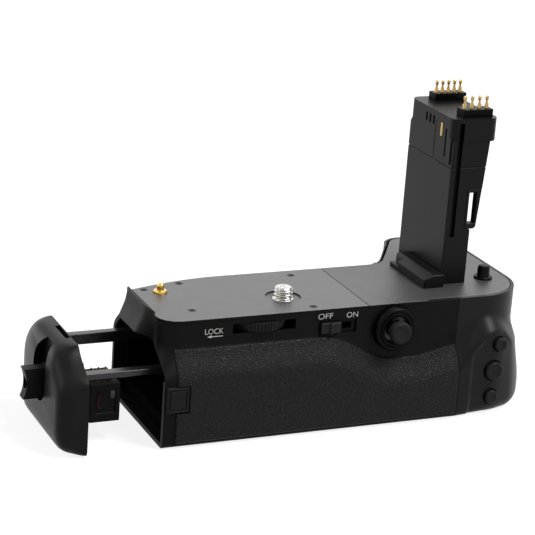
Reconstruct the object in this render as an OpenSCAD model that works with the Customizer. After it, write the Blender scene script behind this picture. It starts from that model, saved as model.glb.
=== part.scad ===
// Camera battery grip, open at its side with the battery tray drawn out.
// Origin on the lens axis at the base. +X points to the button end, +Y to the lens side, +Z up.

/* [Casing] */
// Height of the camera plate above the base
deck_z = 42.2; // [40:0.1:46]
// Lens axis to the tray mouth
mouth_x = 49; // [46:0.5:56]
// Lens axis to the joint of the end housing
seam_x = 60; // [59:0.25:60.5]
// Lens axis to the button end, at the plate
end_x = 88.4; // [87:0.2:94]
// Lens axis to the rear strip
rear_y = 15; // [14.6:0.1:17]
// How far the lower back stands out behind the strip
rear_flare = 5.2; // [4:0.2:7]
// Lens axis to the front edge of the plate
front_y = 24.6; // [24:0.2:28]
// How far the lower front stands out before the plate
front_flare = 6.4; // [5:0.2:9]
// Lens axis to the tip of the hand grip
grip_y = 51.4; // [49:0.2:56]
// How far the button end swells towards the base
end_flare = 4.4; // [3:0.2:6]
// Height where the rear shoulder starts
shoulder_z = 34.3; // [33.5:0.1:35.5]
// Height of the rear shoulder
shoulder_h = 11; // [9:0.5:13]
// How far the shoulder dips under the joystick
valley_drop = 10; // [8:0.5:12]
// How far the shoulder arches up over the thumb buttons
arch_rise = 9; // [6:0.5:10]
// Lens axis to the joint of front and rear housing
split_y = 10; // [9.8:0.1:12]
// Wall of the moulded housings
wall = 2; // [1.6:0.1:2.2]
// Thickness of the grip rubber
rubber_t = 0.8; // [0.5:0.1:1.4]

/* [Camera plate] */
// Edge thickness of the plate
plate_t = 1.2; // [1:0.1:1.6]
// Lens axis to the seam across the plate
plate_seam = 25.2; // [24.5:0.1:28]
// Height of the rim at the tray end above the plate
rim_h = 1.3; // [0.6:0.1:2]
// Length of the camera screw above the plate
screw_len = 3.6; // [3.2:0.1:6.5]
// Diameter of the camera screw and of the tripod thread
screw_d = 6.35; // [6:0.05:6.6]

/* [Lock wheel] */
// Radius of the knurled wheel
wheel_r = 10.6; // [10:0.1:10.9]
// Height of the wheel rim
wheel_h = 3; // [2.4:0.1:3.2]
// How far the wheel stands out of the strip
wheel_out = 1.3; // [0.8:0.1:1.6]
// Teeth of the pinion under the wheel
wheel_teeth = 18; // [18:1:18]
// Teeth of the gear on the camera screw
screw_teeth = 22; // [22:1:22]
// Tooth module of both gears
tooth_m = 0.7; // [0.68:0.01:0.72]

/* [Controls] */
// Lens axis to the joystick
joy_x = 35; // [34:0.2:36]
// Height of the joystick
joy_z = 33.6; // [33.2:0.1:33.8]
// Upward tilt of the joystick
joy_tilt = 0; // [0:1:8]
// Radius of the joystick boss
joy_r = 7.8; // [7.5:0.1:8]
// Travel of the power switch
switch_travel = 5.6; // [4:0.1:6]
// Travel of the thumb buttons
button_travel = 0.6; // [0.4:0.1:1]
// Radius of the main dial
dial_r = 8.6; // [8.2:0.1:9]

/* [Tray] */
// How far the tray is drawn out
tray_out = 25.2; // [0:0.2:40]
// Depth of the tray's cap
cap_u = 10; // [9:0.2:12]
// Wall of the chamber liner
liner_t = 1; // [0.8:0.1:1.4]
// Running gap of the tray in the liner
tray_gap = 0.4; // [0.3:0.05:0.8]
// Thickness of the turn key
key_t = 4; // [3:0.1:4.6]

/* [Stalk] */
// Height of the stalk above the plate
stalk_h = 59.2; // [52:0.2:64]
// Depth of the stalk from back to front
stalk_d = 32.2; // [28:0.2:34]
// Thickness of the lower stalk
stalk_w = 9.8; // [9:0.1:11]

/* [Hidden] */
fit = 0.05;
gap = 0.3;
slack = 0.1;
eps = 0.02;
corner_r = 7;
seat_z = deck_z - plate_t;
// Chamber between the housings, and the liner in it
ch_y0 = -(rear_y - 4.6);
ch_y1 = front_y + 3;
ch_z0 = 5.6;
ch_z1 = deck_z - 12.7;
ch_x1 = seam_x + 4.4;
in_y0 = ch_y0 + liner_t;
in_y1 = ch_y1 - liner_t;
in_z0 = ch_z0 + liner_t;
in_z1 = ch_z1 - liner_t;
floor_z = ch_z1 + 1.9;
// Lock wheel and gears
gear_far = tooth_m * (wheel_teeth + screw_teeth) / 2 + 0.1;
wheel_y = -(rear_y + wheel_out - wheel_r);
wheel_x = -sqrt(gear_far * gear_far - wheel_y * wheel_y);
wheel_z = seat_z - 1.5 - wheel_h;
gear_z = floor_z + 0.4;
gear_h = 3.6;
mesh_a = atan2(wheel_y, wheel_x);
// Thumb buttons: place along X, height, radius
buttons = [[75, 25.6, 2.4], [73.4, 16, 3.3], [73.2, 6.4, 2.4]];
// Stalk
stalk_x = seam_x - 0.4;
stalk_y = -0.6;
head_z = deck_z + stalk_h - 8;
top_z = deck_z + stalk_h;
strap_z = deck_z + 34;
strap_x = stalk_x + 7.4;
panel_z = deck_z + 43;
// Turn key on the cap
key_y = 2;
key_z = 18.9;
key_w = 10.4;
rim_x = -mouth_x - gap;

function sm(t) = let (u = min(1, max(0, t))) u * u * (3 - 2 * u);
function ramp(t, r) = t < -r ? 0 : t > r ? t : (t + r) * (t + r) / (4 * r);
function mix(a, b, t) = a + (b - a) * t;
function arc(n, a, b) = [for (i = [0 : n]) mix(a, b, i / n)];

// Rear face: strip, shoulder with the thumb valley and the arch over the buttons, lower back
function valley(x) = sm((x - joy_x + 27) / 28) - 0.3 * sm((x - joy_x - 7) / 20);
function arch(x) = sm((x - seam_x + 2) / 13.5) - 0.6 * sm((x - seam_x - 12) / 12);
function shoulder_top(x) = shoulder_z - valley_drop * valley(x) + arch_rise * arch(x);
function shoulder_span(x) = shoulder_h - 3.5 * sm((x - seam_x) / 8);
function corner_x() = -mouth_x + corner_r;
function pull(x) =
    x < corner_x() ? corner_r - sqrt(max(0, corner_r * corner_r - pow(x - corner_x(), 2))) : 0;
function rear(x, z) =
    let (t = sm((shoulder_top(x) - z) / shoulder_span(x)))
    -rear_y + pull(x) * (1 - t) - rear_flare * t;
// Front face: sloping left edge, swelling lower wall, ramp to the hand grip
grip_slope = 1.586;
grip_x = 48.1;
function front_top(x) =
    front_y - 7.4 * pow(max(0, (-14 - x) / (mouth_x - 13)), 1.8) + grip_slope * ramp(x - grip_x, 4);
function front_low(x) = front_y + front_flare + 0.9 * grip_slope * ramp(x - grip_x - 1.9, 4);
function front(x, z) = mix(front_top(x), front_low(x), sm((deck_z - 2.2 - z) / 16));
// How far the base edge is drawn in at a height
base_r = 1.6;
function draw_in(z, r) = z < r ? r - sqrt(max(0, r * r - pow(r - z, 2))) : 0;

rear_xs = concat([for (a = [90 : -22.5 : 22.5]) corner_x() - corner_r * sin(a)],
    [for (i = [0 : 24]) mix(corner_x(), seam_x, i / 24)]);
function rear_z(x, k) =
    let (low = shoulder_top(x) - shoulder_span(x))
    k < 3 ? base_r * [0.02, 0.3, 1][k]
    : k == 3 ? mix(base_r, low, 0.5)
    : k < 12 ? mix(low, shoulder_top(x), (k - 4) / 7)
    : deck_z;
rear_row_count = 12;
function rear_point(x, k, out) =
    let (z = rear_z(x, k)) [x, rear(x, z) + draw_in(z, base_r) - out, k == 0 ? 0 : z];
rear_rows = [for (k = [0 : rear_row_count]) concat(
    [[-mouth_x, split_y, rear_point(-mouth_x, k, 0)[2]]],
    [for (x = rear_xs) rear_point(x, k, 0)],
    [[seam_x, split_y, rear_point(seam_x, k, 0)[2]]])];

front_xs = [for (i = [0 : 22]) mix(-mouth_x, seam_x, i / 22)];
front_steps = [0.12, 0.28, 0.52, 0.62, 0.69, 0.76, 0.83, 0.9, 0.95, 1];
function front_height(k) =
    k < 3 ? base_r * [0, 0.3, 1][k] : deck_z * front_steps[k - 3];
function front_point(x, k, out) =
    let (z = front_height(k)) [x, front(x, z) - draw_in(max(z, 0.03), base_r) + out, z];
front_rows = [for (k = [0 : 12]) concat(
    [[seam_x, split_y, front_height(k)]],
    [for (i = [len(front_xs) - 1 : -1 : 0]) front_point(front_xs[i], k, 0)],
    [[-mouth_x, split_y, front_height(k)]])];

// Button end: outline at the plate as place and outward direction, then the swell at a height
end_r = 17;
tip_r = 14;
side_r = 8;
side_a = 180 - atan(1 / grip_slope);
end_base = concat(
    [for (a = arc(8, -90, 0)) [end_x - end_r + end_r * cos(a), -rear_y + end_r + end_r * sin(a), a]],
    [for (t = [0.25, 0.5, 0.75]) [end_x, mix(end_r - rear_y, grip_y - tip_r, t), 0]],
    [for (a = arc(6, 0, 90)) [end_x - tip_r + tip_r * cos(a), grip_y - tip_r + tip_r * sin(a), a]],
    [for (a = arc(5, 90, side_a))
        [side_x() + side_r * cos(a), grip_y - side_r + side_r * sin(a), a]]);
function side_x() =
    grip_x + (grip_y - side_r + side_r * sin(side_a) - front_y) / grip_slope - side_r * cos(side_a);
function end_swell(p, z) =
    let (a = p[2], rear_d = rear_flare * sm((shoulder_top(p[0]) - z) / shoulder_span(p[0])),
        side_d = end_flare * sm((30 - z) / 24),
        front_d = sin(a) < 0 ? rear_d : 1.8 * sm((deck_z - 2.2 - z) / 16))
    pow(sin(a), 2) * front_d + pow(cos(a), 2) * (cos(a) > 0 ? side_d : 1);
end_edge = 4;
function end_point(p, z, out) =
    let (d = end_swell(p, z) - draw_in(max(z, 0.05), end_edge) * 0.8 + out)
    [p[0] + d * cos(p[2]), p[1] + d * sin(p[2]), z];
end_steps = [0, 0.01, 0.03, 0.06, 0.1, 0.2, 0.35, 0.48, 0.56, 0.62, 0.67, 0.72, 0.77, 0.82, 0.87, 0.93, 1];
function end_height(k) = deck_z * end_steps[k];
lead_xs = [for (t = [0 : 0.15 : 0.9]) mix(seam_x, end_x - end_r, t)];
function lead_point(x, z) =
    [x, rear(x, z) + mix(draw_in(max(z, 0.03), base_r), 0.8 * draw_in(max(z, 0.05), end_edge),
        (x - seam_x) / (end_x - end_r - seam_x)), z];
end_rows = [for (k = [0 : len(end_steps) - 1]) let (z = end_height(k)) concat(
    [[seam_x, front(seam_x, z) - draw_in(max(z, 0.03), base_r), z]],
    [for (x = lead_xs) lead_point(x, z)],
    [for (p = end_base) end_point(p, z, 0)])];

// Plan outline of the whole casing at the plate
plan = concat([for (x = rear_xs) [x, -rear_y + pull(x)]],
    [for (p = end_base) [p[0], p[1]]],
    [for (i = [len(front_xs) - 1 : -1 : 0]) [front_xs[i], front_top(front_xs[i])]]);

// Section of the tray mouth, which the cap of the tray carries on
mouth_steps = [0, 0.015, 0.047, 0.235, 0.44, 0.62, 0.69, 0.765, 0.84, 0.91, 0.97, 1];
function mouth_h(k) = mouth_steps[k] * (shoulder_z - gap);
mouth_loop = concat(
    [for (k = [0 : 11]) let (z = mouth_h(k)) [rear(-mouth_x, z) + draw_in(max(z, 0.03), base_r), z]],
    [for (k = [11 : -1 : 0]) let (z = mouth_h(k)) [front(-mouth_x, z) - draw_in(max(z, 0.03), base_r), z]]);

// Closed solid through a stack of outlines with one number of points
module stack(rows) {
    n = len(rows[0]);
    m = len(rows);
    polyhedron(points = [for (r = rows) each r], faces = concat(
        [[for (i = [0 : n - 1]) i]],
        [for (k = [0 : m - 2]) for (i = [0 : n - 1]) let (j = (i + 1) % n)
            each [[k * n + i, k * n + n + i, k * n + n + j], [k * n + i, k * n + n + j, k * n + j]]],
        [[for (i = [n : -1 : 1]) (m - 1) * n + i % n]]));
}

// Closed sheet between an outer and an inner grid of points
module sheet(outer, inner) {
    m = len(outer);
    n = len(outer[0]);
    s = m * n;
    function at(k, i) = k * n + i;
    polyhedron(points = concat([for (r = outer) each r], [for (r = inner) each r]), faces = concat(
        [for (k = [0 : m - 2]) for (i = [0 : n - 2]) each [
            [at(k, i), at(k + 1, i), at(k + 1, i + 1)], [at(k, i), at(k + 1, i + 1), at(k, i + 1)],
            [s + at(k, i), s + at(k + 1, i + 1), s + at(k + 1, i)],
            [s + at(k, i), s + at(k, i + 1), s + at(k + 1, i + 1)]]],
        [for (i = [0 : n - 2]) each [
            [at(0, i), at(0, i + 1), s + at(0, i)], [at(0, i + 1), s + at(0, i + 1), s + at(0, i)],
            [at(m - 1, i), s + at(m - 1, i), at(m - 1, i + 1)],
            [at(m - 1, i + 1), s + at(m - 1, i), s + at(m - 1, i + 1)]]],
        [for (k = [0 : m - 2]) each [
            [at(k, 0), s + at(k, 0), at(k + 1, 0)], [at(k + 1, 0), s + at(k, 0), s + at(k + 1, 0)],
            [at(k, n - 1), at(k + 1, n - 1), s + at(k, n - 1)],
            [at(k + 1, n - 1), s + at(k + 1, n - 1), s + at(k, n - 1)]]]));
}

module box(x0, x1, y0, y1, z0, z1) {
    translate([x0, y0, z0]) cube([x1 - x0, y1 - y0, z1 - z0]);
}

module rod_x(r, x0, x1, y, z) {
    translate([x0, y, z]) rotate([0, 90, 0]) cylinder(r = r, h = x1 - x0, $fn = 48);
}

module rod_y(r, y0, y1, x, z) {
    translate([x, y0, z]) rotate([-90, 0, 0]) cylinder(r = r, h = y1 - y0, $fn = 48);
}

module rod_z(r, z0, z1, x, y) {
    translate([x, y, z0]) cylinder(r = r, h = z1 - z0, $fn = 48);
}

// Plate with round corners, drawn flat
module round_plate(x0, x1, y0, y1, r) {
    translate([x0 + r, y0]) square([x1 - x0 - 2 * r, y1 - y0]);
    translate([x0, y0 + r]) square([x1 - x0, y1 - y0 - 2 * r]);
    for (x = [x0 + r, x1 - r]) for (y = [y0 + r, y1 - r]) translate([x, y]) circle(r = r, $fn = 32);
}

// Frame of the joystick: local Z points out of the strip
module at_joystick() {
    translate([joy_x, -rear_y, joy_z]) rotate([90 - joy_tilt, 0, 0]) children();
}

// Involute gear drawn flat, with one tooth on the X axis
function inv(a) = tan(a) * 180 / PI - a;
function tooth_half(n, r) =
    let (p = tooth_m * n / 2, b = p * cos(20)) 90 / n - 0.08 / p * 180 / PI
    + inv(20) - inv(acos(min(1, b / max(r, b))));
module gear(n) {
    p = tooth_m * n / 2;
    rs = [p - 1.25 * tooth_m, p - 0.5 * tooth_m, p, p + 0.5 * tooth_m, p + 0.95 * tooth_m];
    polygon([for (i = [0 : n - 1]) each concat(
        [for (r = rs) r * [cos(i * 360 / n - tooth_half(n, r)), sin(i * 360 / n - tooth_half(n, r))]],
        [for (k = [4 : -1 : 0]) rs[k] * [cos(i * 360 / n + tooth_half(n, rs[k])),
            sin(i * 360 / n + tooth_half(n, rs[k]))]])]);
}

// Knurled disc drawn flat
module knurl(r, n, depth) {
    polygon([for (i = [0 : n - 1]) for (s = [0, 0.3, 0.5, 0.8])
        (r - (s < 0.4 ? 0 : depth)) * [cos((i + s) * 360 / n), sin((i + s) * 360 / n)]]);
}

// Spaces cut from the housings

module chamber_cut() {
    box(-mouth_x - 1, seam_x + 1, ch_y0, ch_y1, ch_z0, ch_z1);
}

mouth_depth = 4;
module mouth_cut() {
    translate([-mouth_x - 1, 0, 0]) rotate([90, 0, 90]) linear_extrude(mouth_depth + 1) mouth_shape(wall);
}

// Opening of the mouth drawn flat, one wall inside the section
module mouth_shape(t) {
    low_y = rear(-mouth_x, 10) + t;
    high_y = front(-mouth_x, 10) - t;
    top = shoulder_z - 2 - t;
    mid = top - 4;
    polygon([[low_y, t], [high_y, t], [high_y, mid - 4], [front(-mouth_x, mid) - t, mid],
        [front(-mouth_x, top) - t - 1, top], [rear(-mouth_x, top) + t + 1, top],
        [rear(-mouth_x, mid) + t, mid], [low_y, mid - 4]]);
}

jog_x = 48;
plate_lip = 1.2;
module plate_seat() {
    box(-mouth_x - 1, jog_x, -rear_y - 10, grip_y, seat_z, deck_z + 1);
    translate([0, 0, seat_z]) linear_extrude(plate_t + 1) offset(delta = -plate_lip) polygon(plan);
    stalk_hole(seat_z - root_h - slack);
}

// Hole for the root of the stalk, from a height up
root_h = 2;
module stalk_hole(z) {
    translate([stalk_x - slack, stalk_y - slack, z])
        cube([stalk_w + 2 * slack, stalk_d + 2 * slack, deck_z + 1 - z]);
}

gear_x = wheel_x - wheel_r - 0.8;
module gear_pocket() {
    box(gear_x, switch_x[1] + 3, -rear_y + wall, split_y - 1, floor_z, deck_z);
}

wheel_chord = wheel_r + 0.7;
module wheel_slot() {
    box(wheel_x - wheel_chord, wheel_x + wheel_chord, -rear_y - 2, -rear_y + 2.5,
        wheel_z - gap, wheel_z + wheel_h + gap);
}

// Slot of the power switch in the strip
knob_w = 7.4;
switch_x = [7, 8 + knob_w + switch_travel];
switch_z = 35.6;
switch_h = 4.8;
module switch_cut() {
    box(switch_x[0], switch_x[1], -rear_y - 1, -rear_y + 0.9,
        switch_z - switch_h / 2, switch_z + switch_h / 2);
    box(switch_x[0] + 1.6, switch_x[1] - 1.6, -rear_y - 1, -rear_y + 3, switch_z - 1.2, switch_z + 1.2);
}

board_x = [switch_x[1] + 4.2, seam_x - 3];
module board_pocket() {
    box(board_x[0], board_x[1], -rear_y + 4.6, split_y + 8, floor_z, deck_z);
}

module joystick_cut() {
    at_joystick() translate([0, 0, -3.8]) cylinder(r = joy_r + slack, h = 20, $fn = 64);
}

base_x = [-mouth_x + 9, seam_x - 3];
base_y = [-14, 24];
base_t = 1.6;
module base_cut() {
    translate([0, 0, -1]) linear_extrude(base_t + 1)
        round_plate(base_x[0] - slack, base_x[1] + slack, base_y[0] - slack, base_y[1] + slack, 5);
    rod_z(socket_r + fit, 0, ch_z0 + 1, 0, 0);
}

// Port under the rubber cover at the tray end
port_x = [-48.4, -40.4];
port_z = [12.6, 21.6];
port_lip = 0.8;
module port_cut() {
    box(port_x[0] + port_lip - gap, port_x[1] - port_lip + gap, -rear_y - rear_flare - 2,
        -rear_y - rear_flare + 1.2, port_z[0] + port_lip - gap, port_z[1] - port_lip + gap);
}

// Casing

module rear_housing() {
    color([0.12, 0.12, 0.125]) difference() {
        stack(rear_rows);
        chamber_cut();
        mouth_cut();
        plate_seat();
        gear_pocket();
        wheel_slot();
        switch_cut();
        board_pocket();
        joystick_cut();
        base_cut();
        port_cut();
        rod_z(axle_r, ch_z1 + 0.4, floor_z + 1, wheel_x, wheel_y);
        rod_z(bush_r, ch_z1 + 0.4, floor_z + 1, 0, 0);
    }
}

module front_housing() {
    color([0.13, 0.13, 0.135]) difference() {
        stack(front_rows);
        chamber_cut();
        mouth_cut();
        plate_seat();
        board_pocket();
        base_cut();
    }
}

// Pocket of the end housing and the openings for its controls
dial_y = [12.8, 19.2];
dial_z = 21;
dial_x = end_x + 3.4 - dial_r;
shutter_y = 33;
shutter_z = 20;
shutter_r = 6.4;
side_face = end_x + 0.9;
func_y = 25;
func_z = 11.5;
func_r = 2.2;
module end_housing() {
    color([0.11, 0.11, 0.115]) difference() {
        stack(end_rows);
        plate_seat();
        box(seam_x - 1, end_x - 8.4, -rear_y + 6, grip_y - 8, 3.2, deck_z);
        box(button_room[0], button_room[1], button_wall[0], board_y + 2.6, button_room[2], button_step);
        box(button_room[0], button_room[1], button_wall[1], board_y + 2.6, button_step - 1, button_room[3]);
        box(end_x - 9, end_x - 2.2, 4, grip_y - 11, 6, 31);
        box(seam_x - 1, ch_x1 + slack, ch_y0 - slack, ch_y1 + slack, ch_z0 - slack, ch_z1 + slack);
        for (b = buttons) rod_y(b[2] + gap, -40, button_wall[1] + 0.5, b[0], b[1]);
        box(end_x - 6, end_x + 10, dial_y[0] - 0.4, dial_y[1] + 0.4, dial_z - 8.6, dial_z + 8.6);
        rod_x(shutter_r + fit, end_x - 4, end_x + 9, shutter_y, shutter_z);
        rod_x(func_r + gap, end_x - 4, end_x + 9, func_y, func_z);
    }
}

// Trim over the tray mouth with a raised rim, leaning outwards
trim_ts = [1, 0.98, 0.95, 0.9, 0.7, 0.5, 0.3, 0.22, 0.15, 0.08, 0];
function trim_y(t) = mix(-rear_y + corner_r, front_top(-mouth_x), t);
function trim_reach(t, z) = (1.2 + 3.6 * sm((deck_z - z) / 11)) * sm(t / 0.3)
    * sqrt(max(0.04, 1 - pow(max(0, t - 0.9) / 0.1, 2))) + 0.05;
function trim_row(z) = concat([for (t = trim_ts) [-mouth_x - trim_reach(t, z), trim_y(t), z]],
    [[-mouth_x, trim_y(0), z], [-mouth_x, trim_y(1), z]]);
bolt_u = [0.5, 1.9];
bolt_w = 4.4;
bolt_reach = shoulder_z - key_z + 2.1;
// Space that the locking tongue sweeps as the key turns it upright
module tongue_sweep(room) {
    intersection() {
        rod_x(bolt_reach + 2 * room, rim_x - bolt_u[1] - room, rim_x - bolt_u[0] + room, key_y, key_z);
        box(rim_x - 10, rim_x, key_y - bolt_w / 2 - room, key_y + 20, key_z, deck_z);
    }
}

module left_trim() {
    color([0.14, 0.14, 0.145]) difference() {
        stack([for (z = [shoulder_z, shoulder_z + 2.5, shoulder_z + 5, deck_z, deck_z + rim_h])
            trim_row(z)]);
        tongue_sweep(gap);
    }
}

module plate_solid(x0, x1) {
    intersection() {
        union() {
            translate([0, 0, seat_z]) linear_extrude(plate_t) difference() {
                polygon(plan);
                translate([jog_x, -100]) difference() {
                    square([100, 200]);
                    translate([-jog_x, 100]) offset(delta = -plate_lip - slack) polygon(plan);
                }
            }
        }
        box(x0, x1, -60, 100, 0, 100);
    }
}

collar_r = 3.7;
module camera_plate() {
    color([0.2, 0.2, 0.205]) difference() {
        plate_solid(-mouth_x, plate_seam - slack);
        rod_z(collar_r + fit, 0, 60, 0, 0);
        rod_z(collar_r + 2.4, deck_z - 0.5, 60, 0, 0);
        rod_z(shank_r, 0, 60, brass_at[0], brass_at[1]);
        rod_z(brass_flange + slack, deck_z - pin_sink, 60, brass_at[0], brass_at[1]);
        for (p = screw_at) rod_z(1.3, 0, 60, p[0], p[1]);
    }
}

screw_at = [[-35.3, -6], [-44, 16.6], [11.5, 19.6], [6, -11.6], [-30, 20]];
brass_at = [-39.3, 13.3];
brass_r = 1.25;
brass_flange = 2.3;
pin_sink = 0.4;
black_r = 2.2;
shank_r = 1.5;
black_at = [78.6, 2.6];
// Screws in the camera plate
module plate_screws() {
    color([0.3, 0.3, 0.31]) for (p = screw_at) difference() {
        rod_z(1.25, seat_z, deck_z - 0.15, p[0], p[1]);
        for (a = [45, 135]) translate([p[0], p[1], 0]) rotate(a)
            box(-0.8, 0.8, -0.2, 0.2, deck_z - 0.6, deck_z);
    }
}

module stalk_plate() {
    color([0.17, 0.17, 0.175]) difference() {
        plate_solid(plate_seam + slack, end_x + 9);
        stalk_hole(0);
        joystick_cut();
        rod_z(shank_r, 0, 60, black_at[0], black_at[1]);
    }
}

module base_plate() {
    color([0.16, 0.16, 0.165]) difference() {
        linear_extrude(base_t) round_plate(base_x[0], base_x[1], base_y[0], base_y[1], 5);
        rod_z(socket_r + fit, -1, 10, 0, 0);
        for (p = base_screws) rod_z(2.3, -1, 0.9, p[0], p[1]);
        for (p = base_screws) rod_z(1.1, -1, 10, p[0], p[1]);
    }
}

base_screws = [for (x = [base_x[0] + 6, base_x[1] - 6]) for (y = [base_y[0] + 5, base_y[1] - 5]) [x, y]];
module casing_screws() {
    color([0.3, 0.3, 0.31]) for (p = base_screws) {
        difference() {
            rod_z(2.2, 0.05, 0.9, p[0], p[1]);
            translate([p[0], p[1], 0]) for (a = [0, 90]) rotate(a) box(-1.2, 1.2, -0.25, 0.25, -1, 0.5);
        }
        rod_z(1.05, 0.9, base_t, p[0], p[1]);
    }
}

socket_r = 7;
module tripod_socket() {
    color([0.62, 0.62, 0.6]) difference() {
        rod_z(socket_r, 0, ch_z0 - slack, 0, 0);
        rod_z(screw_d / 2, -1, ch_z0 - 0.8, 0, 0);
    }
}

// Rubber: sheets that lie on the housings

rubber_xs = concat([for (i = [3 : 27]) rear_xs[i]], [seam_x - 0.6]);
rubber_n = len(rubber_xs) - 1;
module rear_rubber() {
    color([0.09, 0.09, 0.09]) difference() {
        sheet([for (k = [2 : 10]) [for (i = [0 : rubber_n]) rear_point(rubber_xs[i], k,
            rubber_t * (k == 2 || k == 10 || i == 0 || i == rubber_n ? 0.6 : 1))]],
            [for (k = [2 : 10]) [for (x = rubber_xs) rear_point(x, k, 0)]]);
        box(port_x[0] - gap, port_x[1] + gap, -60, 0, port_z[0] - gap, port_z[1] + gap);
    }
}

grip_part = [for (p = end_base) if (p[2] > 20) p];
module grip_rubber() {
    color([0.09, 0.09, 0.09]) sheet(
        [for (k = [4 : 13]) [for (p = grip_part) end_point(p, end_height(k), rubber_t)]],
        [for (k = [4 : 13]) [for (p = grip_part) end_point(p, end_height(k), 0)]]);
}

module port_cover() {
    face_y = -rear_y - rear_flare - rubber_t;
    color([0.1, 0.1, 0.1]) difference() {
        union() {
            box(port_x[0], port_x[1] - rubber_t / 2, face_y, face_y + rubber_t, port_z[0], port_z[1]);
            rod_z(rubber_t / 2, port_z[0], port_z[1], port_x[1] - rubber_t / 2, face_y + rubber_t / 2);
            box(port_x[0] + port_lip, port_x[1] - port_lip, face_y, face_y + rubber_t + 1.1,
                port_z[0] + port_lip, port_z[1] - port_lip);
        }
        box(port_x[0] + 1.2, port_x[0] + 1.7, face_y - 1, face_y + 0.4, port_z[0] + 1, port_z[1] - 1);
    }
}

// Lock wheel, gears and camera screw

axle_r = 1.5;
bush_r = 3.6;
module wheel_axle() {
    color([0.6, 0.6, 0.62]) rod_z(axle_r, ch_z1 + 0.4, seat_z, wheel_x, wheel_y);
}

module lock_wheel() {
    color([0.1, 0.1, 0.1]) translate([wheel_x, wheel_y, 0]) difference() {
        union() {
            translate([0, 0, wheel_z]) linear_extrude(wheel_h) knurl(wheel_r, 56, 0.45);
            rod_z(tooth_m * wheel_teeth / 2 - 1.4, gear_z + gear_h - eps, wheel_z + eps, 0, 0);
            translate([0, 0, gear_z]) rotate(mesh_a + 180) linear_extrude(gear_h) gear(wheel_teeth);
        }
        rod_z(axle_r + fit, 0, 60, 0, 0);
    }
}

module screw_bush() {
    color([0.7, 0.55, 0.25]) difference() {
        rod_z(bush_r, ch_z1 + 0.4, floor_z + 0.2, 0, 0);
        rod_z(journal_r + fit, 0, 60, 0, 0);
    }
}

journal_r = 2;
module screw_gear() {
    color([0.55, 0.55, 0.52]) difference() {
        translate([0, 0, gear_z]) rotate(mesh_a + 180 / screw_teeth)
            linear_extrude(gear_h) gear(screw_teeth);
        rod_z(journal_r, 0, 60, 0, 0);
    }
}

module camera_screw() {
    color([0.78, 0.78, 0.76]) {
        rod_z(journal_r, ch_z1 + 0.6, seat_z - 1, 0, 0);
        rod_z(collar_r + 0.9, seat_z - 1, seat_z - slack, 0, 0);
        rod_z(collar_r, seat_z - slack, deck_z - 0.4, 0, 0);
        rod_z(screw_d / 2, deck_z - 0.4, deck_z + screw_len - 0.6, 0, 0);
        translate([0, 0, deck_z + screw_len - 0.6])
            cylinder(r1 = screw_d / 2, r2 = screw_d / 2 - 0.6, h = 0.6, $fn = 48);
    }
}

module brass_pin() {
    color([0.72, 0.55, 0.22]) translate([brass_at[0], brass_at[1], 0]) {
        rod_z(shank_r, seat_z, deck_z - pin_sink, 0, 0);
        rod_z(brass_flange, deck_z - pin_sink, deck_z + 0.8, 0, 0);
        rod_z(brass_r, deck_z + 0.8, deck_z + 2.6, 0, 0);
        translate([0, 0, deck_z + 2.6]) cylinder(r1 = brass_r, r2 = brass_r - 0.5, h = 0.5, $fn = 48);
    }
}

module black_pin() {
    color([0.08, 0.08, 0.08]) translate([black_at[0], black_at[1], 0]) {
        rod_z(shank_r, seat_z, deck_z, 0, 0);
        rod_z(black_r + 1.1, deck_z, deck_z + 0.8, 0, 0);
        rod_z(black_r, deck_z + 0.8, deck_z + 3.8, 0, 0);
        translate([0, 0, deck_z + 3.8]) cylinder(r1 = black_r, r2 = black_r - 0.6, h = 1, $fn = 48);
    }
}

// Power switch

module power_switch() {
    x0 = switch_x[0] + 0.5;
    color([0.1, 0.1, 0.1]) {
        box(x0, x0 + knob_w, -rear_y - 1.2, -rear_y + 0.6, switch_z - 1.9, switch_z + 1.9);
        box(x0 + 3, x0 + 4.4, -rear_y - 2, -rear_y - 1.2, switch_z - 1.9, switch_z + 1.9);
        box(x0 + 1.5, x0 + 5.2, -rear_y + 0.6, -rear_y + wall + 0.2, switch_z - 0.9, switch_z + 0.9);
        box(x0 + 1.5, x0 + 5.2, -rear_y + wall + 0.2, -rear_y + wall + 1.2, switch_z - 2, switch_z + 2);
    }
}

module switch_block() {
    color([0.25, 0.25, 0.24])
        box(switch_x[0] - 0.5, switch_x[1] + 1, -rear_y + wall + 1.5, -rear_y + wall + 5,
            floor_z, switch_z + 3);
}

// Joystick

bezel_r = 6;
module joystick_boss() {
    color([0.09, 0.09, 0.09]) at_joystick() difference() {
        union() {
            translate([0, 0, -3.6]) cylinder(r = joy_r, h = 5.8, $fn = 64);
            translate([0, 0, 2.2]) cylinder(r1 = joy_r, r2 = bezel_r + 0.6, h = 0.9, $fn = 64);
        }
        translate([0, 0, -2.6]) cylinder(r = 5.4, h = 10, $fn = 48);
        translate([0, 0, 1.6]) cylinder(r = bezel_r, h = 10, $fn = 48);
        rotate([0, 90, 0]) cylinder(r = pivot_r + fit, h = 2 * 6.6, center = true, $fn = 24);
    }
}

module joystick_bezel() {
    color([0.16, 0.16, 0.165]) at_joystick() difference() {
        translate([0, 0, 1.6]) cylinder(r = bezel_r - slack / 2, h = 1.7, $fn = 48);
        cylinder(r = 4.7, h = 10, $fn = 48);
    }
}

pivot_r = 0.5;
module joystick_gimbal() {
    color([0.4, 0.4, 0.42]) at_joystick() difference() {
        union() {
            translate([0, 0, -0.8]) cylinder(r = 4.7, h = 1.6, $fn = 48);
            rotate([0, 90, 0]) cylinder(r = pivot_r, h = 2 * 6.4, center = true, $fn = 24);
        }
        translate([0, 0, -5]) cylinder(r = 3.1, h = 10, $fn = 48);
        rotate([90, 0, 0]) cylinder(r = pivot_r + fit, h = 2 * 4.3, center = true, $fn = 24);
    }
}

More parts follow.
